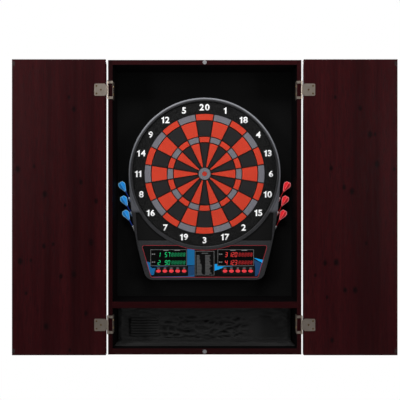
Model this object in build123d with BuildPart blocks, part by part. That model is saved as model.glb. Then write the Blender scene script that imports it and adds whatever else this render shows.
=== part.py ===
from build123d import *
import os
from math import asin, cos, degrees, radians, sin

# A wall cabinet for an electronic dart board: a shallow case with two doors, a
# storage bay under a shelf, the board itself, and six darts in its side sockets.
# Frame: origin on the wall face at the case's mid-height, +X right, +Z up, and the
# doors open towards -Y. A "front" value is a distance from the wall towards -Y.

# ---------------------------------------------------------------- driving sizes, mm
bezel_radius = 249.0      # outer radius of the board's round rim
rim_to_foot = 99.0        # from the round rim's lowest point to the board's lower edge
gap_beside_board = 43.0   # rim to the case's inner side wall
gap_above_board = 93.0
gap_below_board = 60.0
bay_height = 128.0        # clear height of the storage bay
case_depth = 102.0
side_thick = 14.0
top_thick = 15.0
bottom_thick = 19.0
shelf_thick = 20.0
back_thick = 5.0
liner_thick = 1.5
cloth_thick = 4.0
wood_round = 1.0          # rounding on outer wooden edges

door_thick = 16.0
door_over = 1.5           # how far a door passes the case at top and bottom
door_reveal = 5.5         # closed door's edge inside the case's side
door_centre_gap = 8.0     # between the two closed doors
leaf_gap = 0.2            # closed door to a frame leaf's arm

leaf_thick = 1.6
leaf_width = 36.0
leaf_height = 38.5
leaf_round = 4.0
hinge_height = 57.0
hinge_window = 41.0       # gap between the frame leaf's two arms
hinge_knuckle = 32.0      # length of the door leaf's knuckle
neck_inset = 0.5          # the leaf's neck inside each end of its knuckle
knuckle_gap = 0.3
flange_depth = 22.0       # frame leaf's flange along the inner side wall
barrel_radius = 2.4
pin_radius = 1.2
pin_clearance = 0.05
hinge_inset = 95.0        # hinge centre from the case's top or bottom
leaf_screw_edge = 7.0     # outer pair of leaf screws from the leaf's free edge
leaf_screw_inner = 15.0   # single leaf screw from the door's edge
hinge_screw_rise = 12.0   # a hinge screw above or below the hinge's centre
pin_head_thick = 1.2
pin_head_radius = 2.1
axis_out = 0.5            # hinge axis outside the case's side
barrel_gap = 0.3          # hinge barrel to the case's front edge

screw_radius = 1.6
screw_head = 3.0
frame_screw_length = 10.0
door_screw_length = 10.0
door_screw_hole = 11.0
pan_head_thick = 1.4
magnet_radius = 6.5
magnet_length = 9.0
magnet_proud = 1.2
strike_size = (8.0, 14.0, 1.0)
strike_inset = 1.5
strike_below_edge = 6.5   # strike plate from the door's top or bottom edge

board_screw_places = ((-155.0, 155.0), (155.0, 155.0), (-150.0, -215.0), (150.0, -215.0))
board_screw_radius = 2.0
board_screw_head = 4.5
board_screw_end = 20.0
boss_radius = 5.0
boss_front = 23.0

wall_hole_radius = 2.75
wall_hole_inset_x = 89.0  # wall screw hole from the inner side wall
wall_hole_inset_top = 37.0

target_radius = 196.9     # outside of the doubles
double_width = 19.9
triple_outer = 121.6
triple_width = 17.2
bull_outer_radius = 19.6
bull_inner_radius = 7.4
bull_gap = 0.6
wire = 2.4                # thickness of the spider's walls
cell_clearance = 0.3
rim_width = 11.0
rim_round = 1.8
board_shell = 2.5
skirt_thick = 3.0
face_thick = 2.5
step_inset = 1.0          # the bezel's face stands inside its skirt by this much
housing_front = 33.0
recess_floor = 42.5
bezel_front = 45.0
rim_front = 47.0
target_front = 42.0
spider_front = 43.0
membrane_front = 26.2
membrane_thick = 1.2
press_travel = 1.5        # how far a bull or a button is pushed in
press_slack = 0.2
number_ring_thick = 4.0
bull_proud = 0.5

panel_back = 41.0
panel_front = 44.0
window_back = 38.0
window_front = 44.8
window_chamfer = 0.6
tray_back = 42.0
tray_front = 45.2
tray_floor = 44.2
tray_wall = 1.5
button_front = 46.4
button_round = 0.9
button_flange = 1.5       # flange round a button, behind its tray
flange_gap = 0.3
flange_thick = 1.0
circuit_back = 35.0
circuit_thick = 1.6
circuit_inset = 15.0      # circuit board's edge from the console's lower edge, at each side
circuit_margins = (19.0, 7.0)     # from the console's top and bottom

console_in_rim = 15.0     # how far the console's top line is above the rim's lowest point
console_foot_edge = 8.0
console_half_top = 207.0
console_half_bottom = 176.0
console_round = 7.0
console_rim_gap = 0.5     # the console's window to the round rim
panel_clearance = 0.3
recess_heights = (127.0, 219.0)   # a side recess's top and bottom, below the bull
recess_edge_inset = (23.0, 29.0)  # its outer edge from the rim radius, top and bottom
recess_inner_x = 80.0
recess_round = 2.5
outline_mid = (14.5, 160.0)       # lower outline: in from the rim radius, below the bull
outline_end = (48.0, 35.0)        # in from the rim radius, above the board's lower edge
foot_inset = 58.5
foot_round = 30.0
display_size = (121.0, 56.0)
display_places = (-118.0, 102.0)
display_below_rim = 26.0
game_panel_size = (64.0, 80.0)
game_panel_below_rim = 44.0
tray_size = (107.0, 25.0)
tray_offset = 109.0
tray_below_rim = 67.5
button_radii = (7.6, 5.2)
button_pitch = 21.0
button_below_tray = 2.5
button_clearance = 0.3
buttons_per_tray = 5

dart_angle = 29.0         # stored dart's axis from the vertical
dart_front = 26.0
dart_places = ((-1.0, -83.0), (-6.5, -130.0), (-13.5, -177.0))
barrel_radius_dart = 3.4
socket_clearance = 0.8
socket_wall = 2.8
dart_barrel_length = 46.0
dart_point_length = 25.0
dart_point_radius = 1.0
shaft_length = 26.0
shaft_radius = 1.9
flight_length = 38.0
flight_half_width = 11.5
flight_tip = 5.5          # half width at the flight's outer end
flight_root = 2.0         # half width where it leaves the shaft
flight_widest = 0.74      # how far along the flight it is widest
shaft_in_flight = 2.0
fin_thick = 0.8
barrel_proud = 6.0        # how far a stored dart's barrel stands out of its socket
barrel_end_round = 1.0
socket_collar = 12.0      # socket wall outside the mouth
socket_slack = 0.4

jack_x = 120.0
jack_radius = 5.5
jack_length = 12.0
jack_front = 20.0
jack_bore_radius = 2.8
jack_pin_radius = 0.6
jack_floor = 3.0

# ---------------------------------------------------------------- worked out from them
board_drop = bezel_radius + rim_to_foot
inner_half = bezel_radius + gap_beside_board
case_width = 2 * (inner_half + side_thick)
case_half = case_width / 2
case_height = (top_thick + gap_above_board + bezel_radius + board_drop + gap_below_board
               + shelf_thick + bay_height + bottom_thick)
top_z = case_height / 2
bottom_z = -case_height / 2
top_under_z = top_z - top_thick
bull_z = top_under_z - gap_above_board - bezel_radius
bay_floor_z = bottom_z + bottom_thick
shelf_under_z = bay_floor_z + bay_height
shelf_top_z = shelf_under_z + shelf_thick
board_back = back_thick + liner_thick

door_rest_gap = leaf_thick + leaf_gap
axis_x = case_half + axis_out
axis_front = case_depth + barrel_radius + barrel_gap
closed_face = case_depth + door_rest_gap
open_face = 2 * axis_front - closed_face
door_edge_x = 2 * axis_x - (case_half - door_reveal)
door_width = case_half - door_reveal - door_centre_gap / 2
door_height = case_height + 2 * door_over
hinge_zs = (top_z - hinge_inset, bottom_z + hinge_inset)
frame_screw_zs = (-hinge_screw_rise, hinge_screw_rise)
frame_screw_front = case_depth - flange_depth / 2
pin_reach = pin_radius + pin_clearance  # how near a plate may come to the hinge axis

console_top = bezel_radius - console_in_rim
console_bottom = board_drop - console_foot_edge
display_drop = bezel_radius + display_below_rim
game_panel_drop = bezel_radius + game_panel_below_rim
tray_drop = bezel_radius + tray_below_rim
button_drop = tray_drop + button_below_tray

number_inner = target_radius + cell_clearance + wire + cell_clearance
number_outer = bezel_radius - rim_width
ring_radii = (bull_outer_radius + bull_gap + wire / 2,
              triple_outer - triple_width - cell_clearance - wire / 2,
              triple_outer + cell_clearance + wire / 2,
              target_radius - double_width - cell_clearance - wire / 2,
              target_radius + cell_clearance + wire / 2)
wall_hole_x = inner_half - wall_hole_inset_x
wall_hole_top_z = top_under_z - wall_hole_inset_top
wall_hole_low_z = shelf_top_z + gap_below_board / 2
magnet_places = ((top_z + top_under_z) / 2, (bottom_z + bay_floor_z) / 2)

os.makedirs("parts", exist_ok=True)


def front(distance):
    """The plane this far in front of the wall, looking at it from the room."""
    return Plane.XZ.offset(distance)


def finish(builder, name):
    """Labels a finished piece and writes its STEP file."""
    builder.part.label = name
    export_step(builder.part, f"parts/{name}.step")


def slab(x_low, x_high, z_low, z_high, front_low, front_high):
    """A box between two x values, two heights and two distances from the wall."""
    with Locations(((x_low + x_high) / 2, -(front_low + front_high) / 2, (z_low + z_high) / 2)):
        Box(x_high - x_low, front_high - front_low, z_high - z_low)


def edges_along(builder, axis, side):
    """The piece's edges along an axis on its room side, at its left or right."""
    room_side = builder.edges().filter_by(axis).group_by(Axis.Y)[0]
    return room_side.group_by(Axis.X)[side]


# ---------------------------------------------------------------- the wooden case
for side, name in ((-1, "left"), (1, "right")):
    with BuildPart() as side_panel:
        slab(*sorted((side * inner_half, side * case_half)), bottom_z, top_z, 0, case_depth)
        fillet(edges_along(side_panel, Axis.Z, -1 if side > 0 else 0), wood_round)
        for z in hinge_zs:
            for screw_z in frame_screw_zs:
                with Locations(Plane((side * inner_half, -frame_screw_front, z + screw_z),
                                     z_dir=(side, 0, 0))):
                    Cylinder(screw_radius, frame_screw_length,
                             align=(Align.CENTER, Align.CENTER, Align.MIN), mode=Mode.SUBTRACT)
    finish(side_panel, f"{name}_side")

for name, z_low, z_high, z_magnet in (("top_panel", top_under_z, top_z, magnet_places[0]),
                                      ("bottom_panel", bottom_z, bay_floor_z, magnet_places[1])):
    with BuildPart() as panel:
        slab(-inner_half, inner_half, z_low, z_high, 0, case_depth)
        with BuildSketch(front(case_depth + magnet_proud)) as seat:
            with Locations((0, z_magnet)):
                Circle(magnet_radius)
        extrude(amount=-magnet_length, mode=Mode.SUBTRACT)
    finish(panel, name)

with BuildPart() as shelf:
    slab(-inner_half, inner_half, shelf_under_z, shelf_top_z, back_thick, case_depth)
finish(shelf, "shelf")

with BuildPart() as back_panel:
    slab(-inner_half, inner_half, bay_floor_z, top_under_z, 0, back_thick)
    with BuildSketch(front(0)) as wall_holes:
        for z in (wall_hole_top_z, wall_hole_low_z):
            with Locations((-wall_hole_x, z), (wall_hole_x, z)):
                Circle(wall_hole_radius)
    extrude(amount=back_thick, mode=Mode.SUBTRACT)
    for x, z in board_screw_places:
        with Locations(Plane((x, 0, bull_z + z), z_dir=(0, 1, 0))):
            CounterSinkHole(board_screw_radius, board_screw_head, back_thick)
finish(back_panel, "back_panel")

with BuildPart() as back_liner:
    slab(-inner_half, inner_half, shelf_top_z, top_under_z, back_thick, board_back)
    with BuildSketch(front(back_thick)) as liner_holes:
        for z in (wall_hole_top_z, wall_hole_low_z):
            with Locations((-wall_hole_x, z), (wall_hole_x, z)):
                Circle(wall_hole_radius)
        for x, z in board_screw_places:
            with Locations((x, bull_z + z)):
                Circle(board_screw_radius)
    extrude(amount=liner_thick, mode=Mode.SUBTRACT)
finish(back_liner, "back_liner")

with BuildPart() as storage_liner:
    slab(-inner_half + 2, inner_half - 2, bay_floor_z, shelf_under_z - 2,
         back_thick, back_thick + cloth_thick)
finish(storage_liner, "storage_liner")

with BuildPart() as door_magnets:
    with BuildSketch(front(case_depth + magnet_proud)) as magnet_face:
        for z in magnet_places:
            with Locations((0, z)):
                Circle(magnet_radius)
    extrude(amount=-magnet_length)
finish(door_magnets, "door_magnets")

# ---------------------------------------------------------------- doors and hinges
leaf_end_x = door_edge_x + leaf_width
door_screws = ((leaf_end_x - leaf_screw_edge, -hinge_screw_rise),
               (leaf_end_x - leaf_screw_edge, hinge_screw_rise),
               (door_edge_x + leaf_screw_inner, 0.0))
countersink = screw_head - screw_radius
strike_x = door_edge_x + door_width - strike_inset - strike_size[0] / 2
strike_zs = (top_z + door_over - strike_below_edge - strike_size[1] / 2,
             bottom_z - door_over + strike_below_edge + strike_size[1] / 2)

for side, name in ((-1, "left"), (1, "right")):
    with BuildPart() as door:
        slab(*sorted((side * door_edge_x, side * (door_edge_x + door_width))),
             -door_height / 2, door_height / 2, open_face - door_thick, open_face)
        fillet(door.edges(), wood_round)
        for z in hinge_zs:
            for x, screw_z in door_screws:
                with Locations(Plane((side * x, -open_face, z + screw_z), z_dir=(0, 1, 0))):
                    Cylinder(screw_radius, door_screw_hole,
                             align=(Align.CENTER, Align.CENTER, Align.MIN), mode=Mode.SUBTRACT)
        with BuildSketch(front(open_face)) as strike_seat:
            for z in strike_zs:
                with Locations((side * strike_x, z)):
                    Rectangle(strike_size[0], strike_size[1])
        extrude(amount=-strike_size[2], mode=Mode.SUBTRACT)
    finish(door, f"{name}_door")

    with BuildPart() as strikes:
        with BuildSketch(front(open_face)) as strike_face:
            for z in strike_zs:
                with Locations((side * strike_x, z)):
                    Rectangle(strike_size[0], strike_size[1])
        extrude(amount=-strike_size[2])
    finish(strikes, f"{name}_door_strikes")

    # The door leaf: a rounded plate on the door's inner face, a neck, and a knuckle.
    with BuildPart() as door_leaves:
        for z in hinge_zs:
            with BuildSketch(front(open_face)) as plate:
                with Locations((side * (door_edge_x + leaf_end_x) / 2, z)):
                    RectangleRounded(leaf_width, leaf_height, leaf_round)
                with Locations((side * (axis_x + pin_reach + door_edge_x + leaf_round) / 2, z)):
                    Rectangle(door_edge_x + leaf_round - axis_x - pin_reach,
                              hinge_knuckle - 2 * neck_inset)
            extrude(amount=leaf_thick)
            with BuildSketch(Plane.XY.offset(z - hinge_knuckle / 2)) as knuckle:
                with Locations((side * axis_x, -axis_front)):
                    Circle(barrel_radius)
                    Circle(pin_radius + pin_clearance, mode=Mode.SUBTRACT)
            extrude(amount=hinge_knuckle)
            for x, screw_z in door_screws:
                with Locations(Plane((side * x, -open_face - leaf_thick, z + screw_z),
                                     z_dir=(0, -1, 0))):
                    CounterSinkHole(screw_radius, screw_head, leaf_thick, 90)
    finish(door_leaves, f"{name}_door_leaves")

    with BuildPart() as leaf_screws:
        for z in hinge_zs:
            for x, screw_z in door_screws:
                with Locations(Plane((side * x, -open_face - leaf_thick, z + screw_z),
                                     z_dir=(0, 1, 0))):
                    Cone(screw_head, screw_radius, countersink,
                         align=(Align.CENTER, Align.CENTER, Align.MIN))
                    Cylinder(screw_radius, leaf_thick + door_screw_length,
                             align=(Align.CENTER, Align.CENTER, Align.MIN))
    finish(leaf_screws, f"{name}_door_screws")

# The frame leaf: a flange inside the case, two arms over its front edge, two knuckles.
arm_front = case_depth + leaf_thick
arm_height = (hinge_height - hinge_window) / 2
flange_x = inner_half - leaf_thick
with BuildPart() as frame_leaves:
    for z in hinge_zs:
        slab(flange_x, inner_half, z - hinge_height / 2, z + hinge_height / 2,
             case_depth - flange_depth, case_depth - door_rest_gap / 2)
        for end in (-1, 1):
            arm_z = z + end * (hinge_height - arm_height) / 2
            slab(flange_x, inner_half, arm_z - arm_height / 2, arm_z + arm_height / 2,
                 case_depth - flange_depth, arm_front)
            slab(flange_x, axis_x - pin_reach, arm_z - arm_height / 2, arm_z + arm_height / 2,
                 case_depth, arm_front)
            knuckle_length = (hinge_height - hinge_knuckle) / 2 - knuckle_gap
            knuckle_z = z + end * (hinge_height - knuckle_length) / 2
            with BuildSketch(Plane.XY.offset(knuckle_z - knuckle_length / 2)) as ring:
                with Locations((axis_x, -axis_front)):
                    Circle(barrel_radius)
            extrude(amount=knuckle_length)
        with BuildSketch(Plane.XY.offset(z - hinge_height / 2)) as pin_bore:
            with Locations((axis_x, -axis_front)):
                Circle(pin_radius)
        extrude(amount=hinge_height, mode=Mode.SUBTRACT)
        for screw_z in frame_screw_zs:
            with Locations(Plane((flange_x, -frame_screw_front, z + screw_z), z_dir=(1, 0, 0))):
                Cylinder(screw_radius, leaf_thick, align=(Align.CENTER, Align.CENTER, Align.MIN),
                         mode=Mode.SUBTRACT)
    mirror(about=Plane.YZ)
finish(frame_leaves, "hinge_frame_leaves")

with BuildPart() as hinge_pins:
    for z in hinge_zs:
        with BuildSketch(Plane.XY.offset(z - hinge_height / 2)) as pin:
            with Locations((axis_x, -axis_front)):
                Circle(pin_radius)
        extrude(amount=hinge_height)
        for head_z in (z - hinge_height / 2 - pin_head_thick, z + hinge_height / 2):
            with BuildSketch(Plane.XY.offset(head_z)) as head:
                with Locations((axis_x, -axis_front)):
                    Circle(pin_head_radius)
            extrude(amount=pin_head_thick)
    mirror(about=Plane.YZ)
finish(hinge_pins, "hinge_pins")

with BuildPart() as frame_screws:
    for z in hinge_zs:
        for screw_z in frame_screw_zs:
            with Locations(Plane((flange_x, -frame_screw_front, z + screw_z), z_dir=(1, 0, 0))):
                Cylinder(screw_radius, leaf_thick + frame_screw_length,
                         align=(Align.CENTER, Align.CENTER, Align.MIN))
                Cylinder(screw_head, pan_head_thick,
                         align=(Align.CENTER, Align.CENTER, Align.MAX))
    fillet(frame_screws.edges().group_by(Axis.X)[0], pan_head_thick * 0.6)
    mirror(about=Plane.YZ)
finish(frame_screws, "frame_screws")

# ---------------------------------------------------------------- the board's outline
def at_board(distance):
    """A front plane with its origin on the bull's centre."""
    return Plane((0, -distance, bull_z), x_dir=(1, 0, 0), z_dir=(0, -1, 0))


side_mid = (bezel_radius - outline_mid[0], -outline_mid[1])
side_end = (bezel_radius - outline_end[0], outline_end[1] - board_drop)
foot = (bezel_radius - foot_inset, -board_drop)
with BuildSketch() as outline:
    with BuildLine() as lower:
        ThreePointArc((bezel_radius, 0), side_mid, side_end)
        Line(side_end, foot)
        Line(foot, (-foot[0], foot[1]))
        Line((-foot[0], foot[1]), (-side_end[0], side_end[1]))
        ThreePointArc((-side_end[0], side_end[1]), (-side_mid[0], side_mid[1]), (-bezel_radius, 0))
        Line((-bezel_radius, 0), (bezel_radius, 0))
    make_face()
    fillet(outline.vertices().group_by(Axis.Y)[0], foot_round)
    Circle(bezel_radius)

with BuildSketch() as console_window:
    with BuildLine() as console_edge:
        FilletPolyline((-console_half_top, -console_top), (console_half_top, -console_top),
                       (console_half_bottom, -console_bottom),
                       (-console_half_bottom, -console_bottom),
                       radius=console_round, close=True)
    make_face()
    Circle(bezel_radius + console_rim_gap, mode=Mode.SUBTRACT)

with BuildSketch() as recesses:
    with BuildLine() as recess_edge:
        Polyline((bezel_radius - recess_edge_inset[0], -recess_heights[0]),
                 (bezel_radius - recess_edge_inset[1], -recess_heights[1]),
                 (recess_inner_x, -recess_heights[1]), (recess_inner_x, -recess_heights[0]),
                 close=True)
    make_face()
    mirror(about=Plane.YZ)
    Circle(bezel_radius - 1, mode=Mode.SUBTRACT)
    fillet(recesses.vertices(), recess_round)

# ---------------------------------------------------------------- board shells
dart_direction = (sin(radians(dart_angle)), 0, cos(radians(dart_angle)))
dart_depth = dart_barrel_length + dart_point_length + socket_slack


def dart_plane(number):
    """The plane at a stored dart's mouth, its normal out along the dart."""
    side = -1 if number < 3 else 1
    inset, z = dart_places[number % 3]
    return Plane((side * (bezel_radius + inset), -dart_front, bull_z + z),
                 x_dir=(0, -1, 0), z_dir=(side * dart_direction[0], 0, dart_direction[2]))


with BuildPart() as sockets:
    for number in range(6):
        with BuildSketch(dart_plane(number)) as socket:
            Circle(barrel_radius_dart + socket_clearance + socket_wall)
        extrude(amount=socket_collar)
        with BuildSketch(dart_plane(number)) as socket:
            Circle(barrel_radius_dart + socket_clearance + socket_wall)
        extrude(amount=-dart_depth - board_shell)
    with BuildSketch(at_board(board_back)) as socket_limit:
        add(outline.sketch)
    extrude(amount=housing_front - board_back, mode=Mode.INTERSECT)

with BuildPart() as board_housing:
    with BuildSketch(at_board(board_back)) as shell:
        add(outline.sketch)
    extrude(amount=housing_front - board_back)
    with BuildSketch(at_board(board_back + board_shell)) as hollow:
        add(outline.sketch)
        offset(amount=-board_shell, mode=Mode.REPLACE)
    extrude(amount=housing_front, mode=Mode.SUBTRACT)
    with BuildSketch(at_board(board_back)) as ribs:
        for radius in (number_inner + 1, triple_outer):
            Circle(radius + board_shell)
            Circle(radius, mode=Mode.SUBTRACT)
    extrude(amount=membrane_front - membrane_thick - board_back)
    with BuildSketch(at_board(board_back)) as bosses:
        with Locations(*board_screw_places):
            Circle(boss_radius)
    extrude(amount=boss_front - board_back)
    with BuildSketch(at_board(board_back)) as boss_holes:
        with Locations(*board_screw_places):
            Circle(board_screw_radius)
    extrude(amount=board_screw_end - board_back, mode=Mode.SUBTRACT)
    add(sockets.part)
    for number in range(6):
        with BuildSketch(dart_plane(number)) as bore:
            Circle(barrel_radius_dart + socket_clearance)
        extrude(amount=socket_collar, mode=Mode.SUBTRACT)
        with BuildSketch(dart_plane(number)) as bore:
            Circle(barrel_radius_dart + socket_clearance)
        extrude(amount=-dart_depth, mode=Mode.SUBTRACT)
    with BuildSketch(Plane.XY.offset(bull_z - board_drop)) as jack_hole:
        with Locations((jack_x, -jack_front)):
            Circle(jack_radius)
    extrude(amount=board_shell, mode=Mode.SUBTRACT)
finish(board_housing, "board_housing")

with BuildPart() as power_jack:
    with BuildSketch(Plane.XY.offset(bull_z - board_drop)) as jack:
        with Locations((jack_x, -jack_front)):
            Circle(jack_radius)
    extrude(amount=jack_length)
    with BuildSketch(Plane.XY.offset(bull_z - board_drop)) as jack_bore:
        with Locations((jack_x, -jack_front)):
            Circle(jack_bore_radius)
            Circle(jack_pin_radius, mode=Mode.SUBTRACT)
    extrude(amount=jack_length - jack_floor, mode=Mode.SUBTRACT)
finish(power_jack, "power_jack")

with BuildPart() as board_screws:
    for x, z in board_screw_places:
        with Locations(Plane((x, 0, bull_z + z), z_dir=(0, -1, 0))):
            Cone(board_screw_head, board_screw_radius, board_screw_head - board_screw_radius,
                 align=(Align.CENTER, Align.CENTER, Align.MIN))
            Cylinder(board_screw_radius, board_screw_end,
                     align=(Align.CENTER, Align.CENTER, Align.MIN))
finish(board_screws, "board_screws")

with BuildPart() as board_bezel:
    with BuildSketch(at_board(housing_front)) as skirt:
        add(outline.sketch)
        offset(amount=-skirt_thick, mode=Mode.SUBTRACT)
    extrude(amount=bezel_front - housing_front - step_inset)
    with BuildSketch(at_board(recess_floor - face_thick)) as face_floor:
        add(outline.sketch)
        Circle(number_outer, mode=Mode.SUBTRACT)
        add(console_window.sketch, mode=Mode.SUBTRACT)
    extrude(amount=face_thick)
    with BuildSketch(at_board(recess_floor)) as face:
        add(outline.sketch)
        offset(amount=-step_inset, mode=Mode.REPLACE)
        Circle(number_outer, mode=Mode.SUBTRACT)
        add(console_window.sketch, mode=Mode.SUBTRACT)
        add(recesses.sketch, mode=Mode.SUBTRACT)
    extrude(amount=bezel_front - recess_floor)
    with BuildSketch(at_board(housing_front)) as rim:
        Circle(bezel_radius)
        Circle(number_outer, mode=Mode.SUBTRACT)
    extrude(amount=rim_front - housing_front)
    rim_edges = board_bezel.edges().filter_by(GeomType.CIRCLE).group_by(Axis.Y)[0]
    fillet(rim_edges, rim_round)
finish(board_bezel, "board_bezel")

# ---------------------------------------------------------------- target face
with BuildPart() as number_ring:
    with BuildSketch(at_board(target_front - number_ring_thick)) as numbers:
        Circle(number_outer - panel_clearance)
        Circle(number_inner, mode=Mode.SUBTRACT)
    extrude(amount=number_ring_thick)
finish(number_ring, "number_ring")

with BuildPart() as spider:
    with BuildSketch(at_board(membrane_front)) as rings:
        for radius in ring_radii:
            Circle(radius + wire / 2)
            Circle(radius - wire / 2, mode=Mode.SUBTRACT)
    extrude(amount=spider_front - membrane_front)
    with BuildSketch(at_board(membrane_front)) as bars:
        with PolarLocations((ring_radii[0] + ring_radii[-1]) / 2, 20, start_angle=9):
            Rectangle(ring_radii[-1] - ring_radii[0], wire)
    extrude(amount=spider_front - membrane_front)
finish(spider, "spider")


def segment_points(inner, outer):
    """Corners and arc mid-points of one scoring segment about the +X axis."""
    side_gap = wire / 2 + cell_clearance
    points = []
    for radius in (inner, outer):
        half = 9 - degrees(asin(side_gap / radius))
        for angle in (-half, 0, half):
            points.append((radius * cos(radians(angle)), radius * sin(radians(angle))))
    return points


segment_shapes = []
for ring_number in range(4):
    ring_inner = ring_radii[ring_number] + wire / 2 + cell_clearance
    ring_outer = ring_radii[ring_number + 1] - wire / 2 - cell_clearance
    low_a, mid_a, high_a, low_b, mid_b, high_b = segment_points(ring_inner, ring_outer)
    with BuildSketch() as segment:
        with BuildLine() as segment_edge:
            ThreePointArc(low_a, mid_a, high_a)
            Line(high_a, high_b)
            ThreePointArc(high_b, mid_b, low_b)
            Line(low_b, low_a)
        make_face()
    segment_shapes.append(segment.sketch)


def segment_group(name, rings, first_angle):
    """Ten equal segments in each named ring, as separate solids in one node."""
    with BuildPart() as group:
        with BuildSketch(at_board(membrane_front)) as ten:
            with PolarLocations(0, 10, start_angle=first_angle):
                for ring_number in rings:
                    add(segment_shapes[ring_number])
        extrude(amount=target_front - membrane_front)
    finish(group, name)


top_wedge = 90
next_wedge = 72
segment_group("red_rings", (1, 3), top_wedge)
segment_group("grey_rings", (1, 3), next_wedge)
segment_group("black_singles", (0, 2), top_wedge)
segment_group("red_singles", (0, 2), next_wedge)

bull_back = membrane_front + press_travel + press_slack
bull_front = target_front + bull_proud
with BuildPart() as bull_outer:
    with BuildSketch(at_board(bull_back)) as bull:
        Circle(bull_outer_radius)
        Circle(bull_inner_radius + bull_gap, mode=Mode.SUBTRACT)
    extrude(amount=bull_front - bull_back)
finish(bull_outer, "bull_outer")

with BuildPart() as bull_inner:
    with BuildSketch(at_board(bull_back)) as bull:
        Circle(bull_inner_radius)
    extrude(amount=bull_front - bull_back)
finish(bull_inner, "bull_inner")

with BuildPart() as switch_membrane:
    with BuildSketch(at_board(membrane_front - membrane_thick)) as membrane:
        Circle(number_inner + board_shell)
    extrude(amount=membrane_thick)
finish(switch_membrane, "switch_membrane")

# ---------------------------------------------------------------- console
with BuildSketch() as tray_shape:
    SlotOverall(tray_size[0], tray_size[1])

with BuildPart() as console_panel:
    with BuildSketch(at_board(panel_back)) as panel_shape:
        add(console_window.sketch)
        offset(amount=-panel_clearance, mode=Mode.REPLACE)
        for x in display_places:
            with Locations((x, -display_drop)):
                Rectangle(display_size[0], display_size[1], mode=Mode.SUBTRACT)
        with Locations((0, -game_panel_drop)):
            Rectangle(game_panel_size[0], game_panel_size[1], mode=Mode.SUBTRACT)
        for x in (-tray_offset, tray_offset):
            with Locations((x, -tray_drop)):
                add(tray_shape.sketch, mode=Mode.SUBTRACT)
    extrude(amount=panel_front - panel_back)
finish(console_panel, "console_panel")

with BuildPart() as displays:
    with BuildSketch(at_board(window_back)) as windows:
        for x in display_places:
            with Locations((x, -display_drop)):
                Rectangle(display_size[0], display_size[1])
    extrude(amount=window_front - window_back)
    for face in displays.faces().group_by(Axis.Y)[0]:
        chamfer(face.edges(), window_chamfer)
finish(displays, "displays")

with BuildPart() as game_panel:
    with BuildSketch(at_board(window_back)) as game_face:
        with Locations((0, -game_panel_drop)):
            Rectangle(game_panel_size[0], game_panel_size[1])
    extrude(amount=window_front - window_back)
finish(game_panel, "game_panel")

button_xs = []
for tray_x in (-tray_offset, tray_offset):
    for place in range(buttons_per_tray):
        button_xs.append(tray_x + (place - (buttons_per_tray - 1) / 2) * button_pitch)

with BuildPart() as button_trays:
    with BuildSketch(at_board(tray_back)) as tray_body:
        for x in (-tray_offset, tray_offset):
            with Locations((x, -tray_drop)):
                add(tray_shape.sketch)
    extrude(amount=tray_front - tray_back)
    with BuildSketch(at_board(tray_floor)) as tray_hollow:
        for x in (-tray_offset, tray_offset):
            with Locations((x, -tray_drop)):
                SlotOverall(tray_size[0] - 2 * tray_wall, tray_size[1] - 2 * tray_wall)
    extrude(amount=tray_front - tray_floor, mode=Mode.SUBTRACT)
    with BuildSketch(at_board(tray_back)) as button_holes:
        for x in button_xs:
            with Locations((x, -button_drop)):
                Ellipse(button_radii[0] + button_clearance, button_radii[1] + button_clearance)
    extrude(amount=tray_front - tray_back, mode=Mode.SUBTRACT)
finish(button_trays, "button_trays")

flange_front = tray_back - flange_gap
for number, x in enumerate(button_xs, start=1):
    with BuildPart() as button:
        with BuildSketch(at_board(flange_front)) as stem:
            with Locations((x, -button_drop)):
                Ellipse(*button_radii)
        extrude(amount=button_front - flange_front)
        fillet(button.edges().group_by(Axis.Y)[0], button_round)
        with BuildSketch(at_board(flange_front - flange_thick)) as flange:
            with Locations((x, -button_drop)):
                Ellipse(button_radii[0] + button_flange, button_radii[1] + button_flange)
        extrude(amount=flange_thick)
    finish(button, f"button_{number}")

with BuildPart() as circuit_board:
    with BuildSketch(at_board(circuit_back)) as circuit_plate:
        with Locations((0, -(console_top + circuit_margins[0] + console_bottom
                             - circuit_margins[1]) / 2)):
            Rectangle(2 * (console_half_bottom - circuit_inset),
                      console_bottom - console_top - sum(circuit_margins))
    extrude(amount=circuit_thick)
finish(circuit_board, "circuit_board")

# ---------------------------------------------------------------- darts
for number in range(6):
    mouth = dart_plane(number)
    with BuildPart() as dart_barrel:
        with BuildSketch(mouth.offset(-dart_barrel_length)) as barrel:
            Circle(barrel_radius_dart)
        extrude(amount=dart_barrel_length + barrel_proud)
        fillet(dart_barrel.edges().filter_by(GeomType.CIRCLE), barrel_end_round)
        with BuildSketch(mouth.offset(-dart_barrel_length - dart_point_length)) as point:
            Circle(dart_point_radius)
        extrude(amount=dart_point_length)
    finish(dart_barrel, f"dart_{number + 1}_barrel")

    with BuildPart() as dart_flight:
        with BuildSketch(mouth.offset(barrel_proud)) as shaft:
            Circle(shaft_radius)
        extrude(amount=shaft_length + shaft_in_flight)
        for turn in (0, 90):
            fin_plane = Plane(mouth.origin, x_dir=mouth.z_dir, z_dir=mouth.x_dir)
            if turn:
                fin_plane = Plane(mouth.origin, x_dir=mouth.z_dir, z_dir=mouth.y_dir)
            with BuildSketch(fin_plane) as fin:
                with BuildLine() as fin_edge:
                    start = shaft_length
                    end = start + flight_length
                    widest = (start + flight_length * flight_widest, flight_half_width)
                    Polyline((start, 0), (start + flight_root, flight_root), widest,
                             (end, flight_tip), (end, 0), close=True)
                make_face()
                mirror(about=Plane.XZ)
            extrude(amount=fin_thick / 2, both=True)
    finish(dart_flight, f"dart_{number + 1}_flight")
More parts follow.
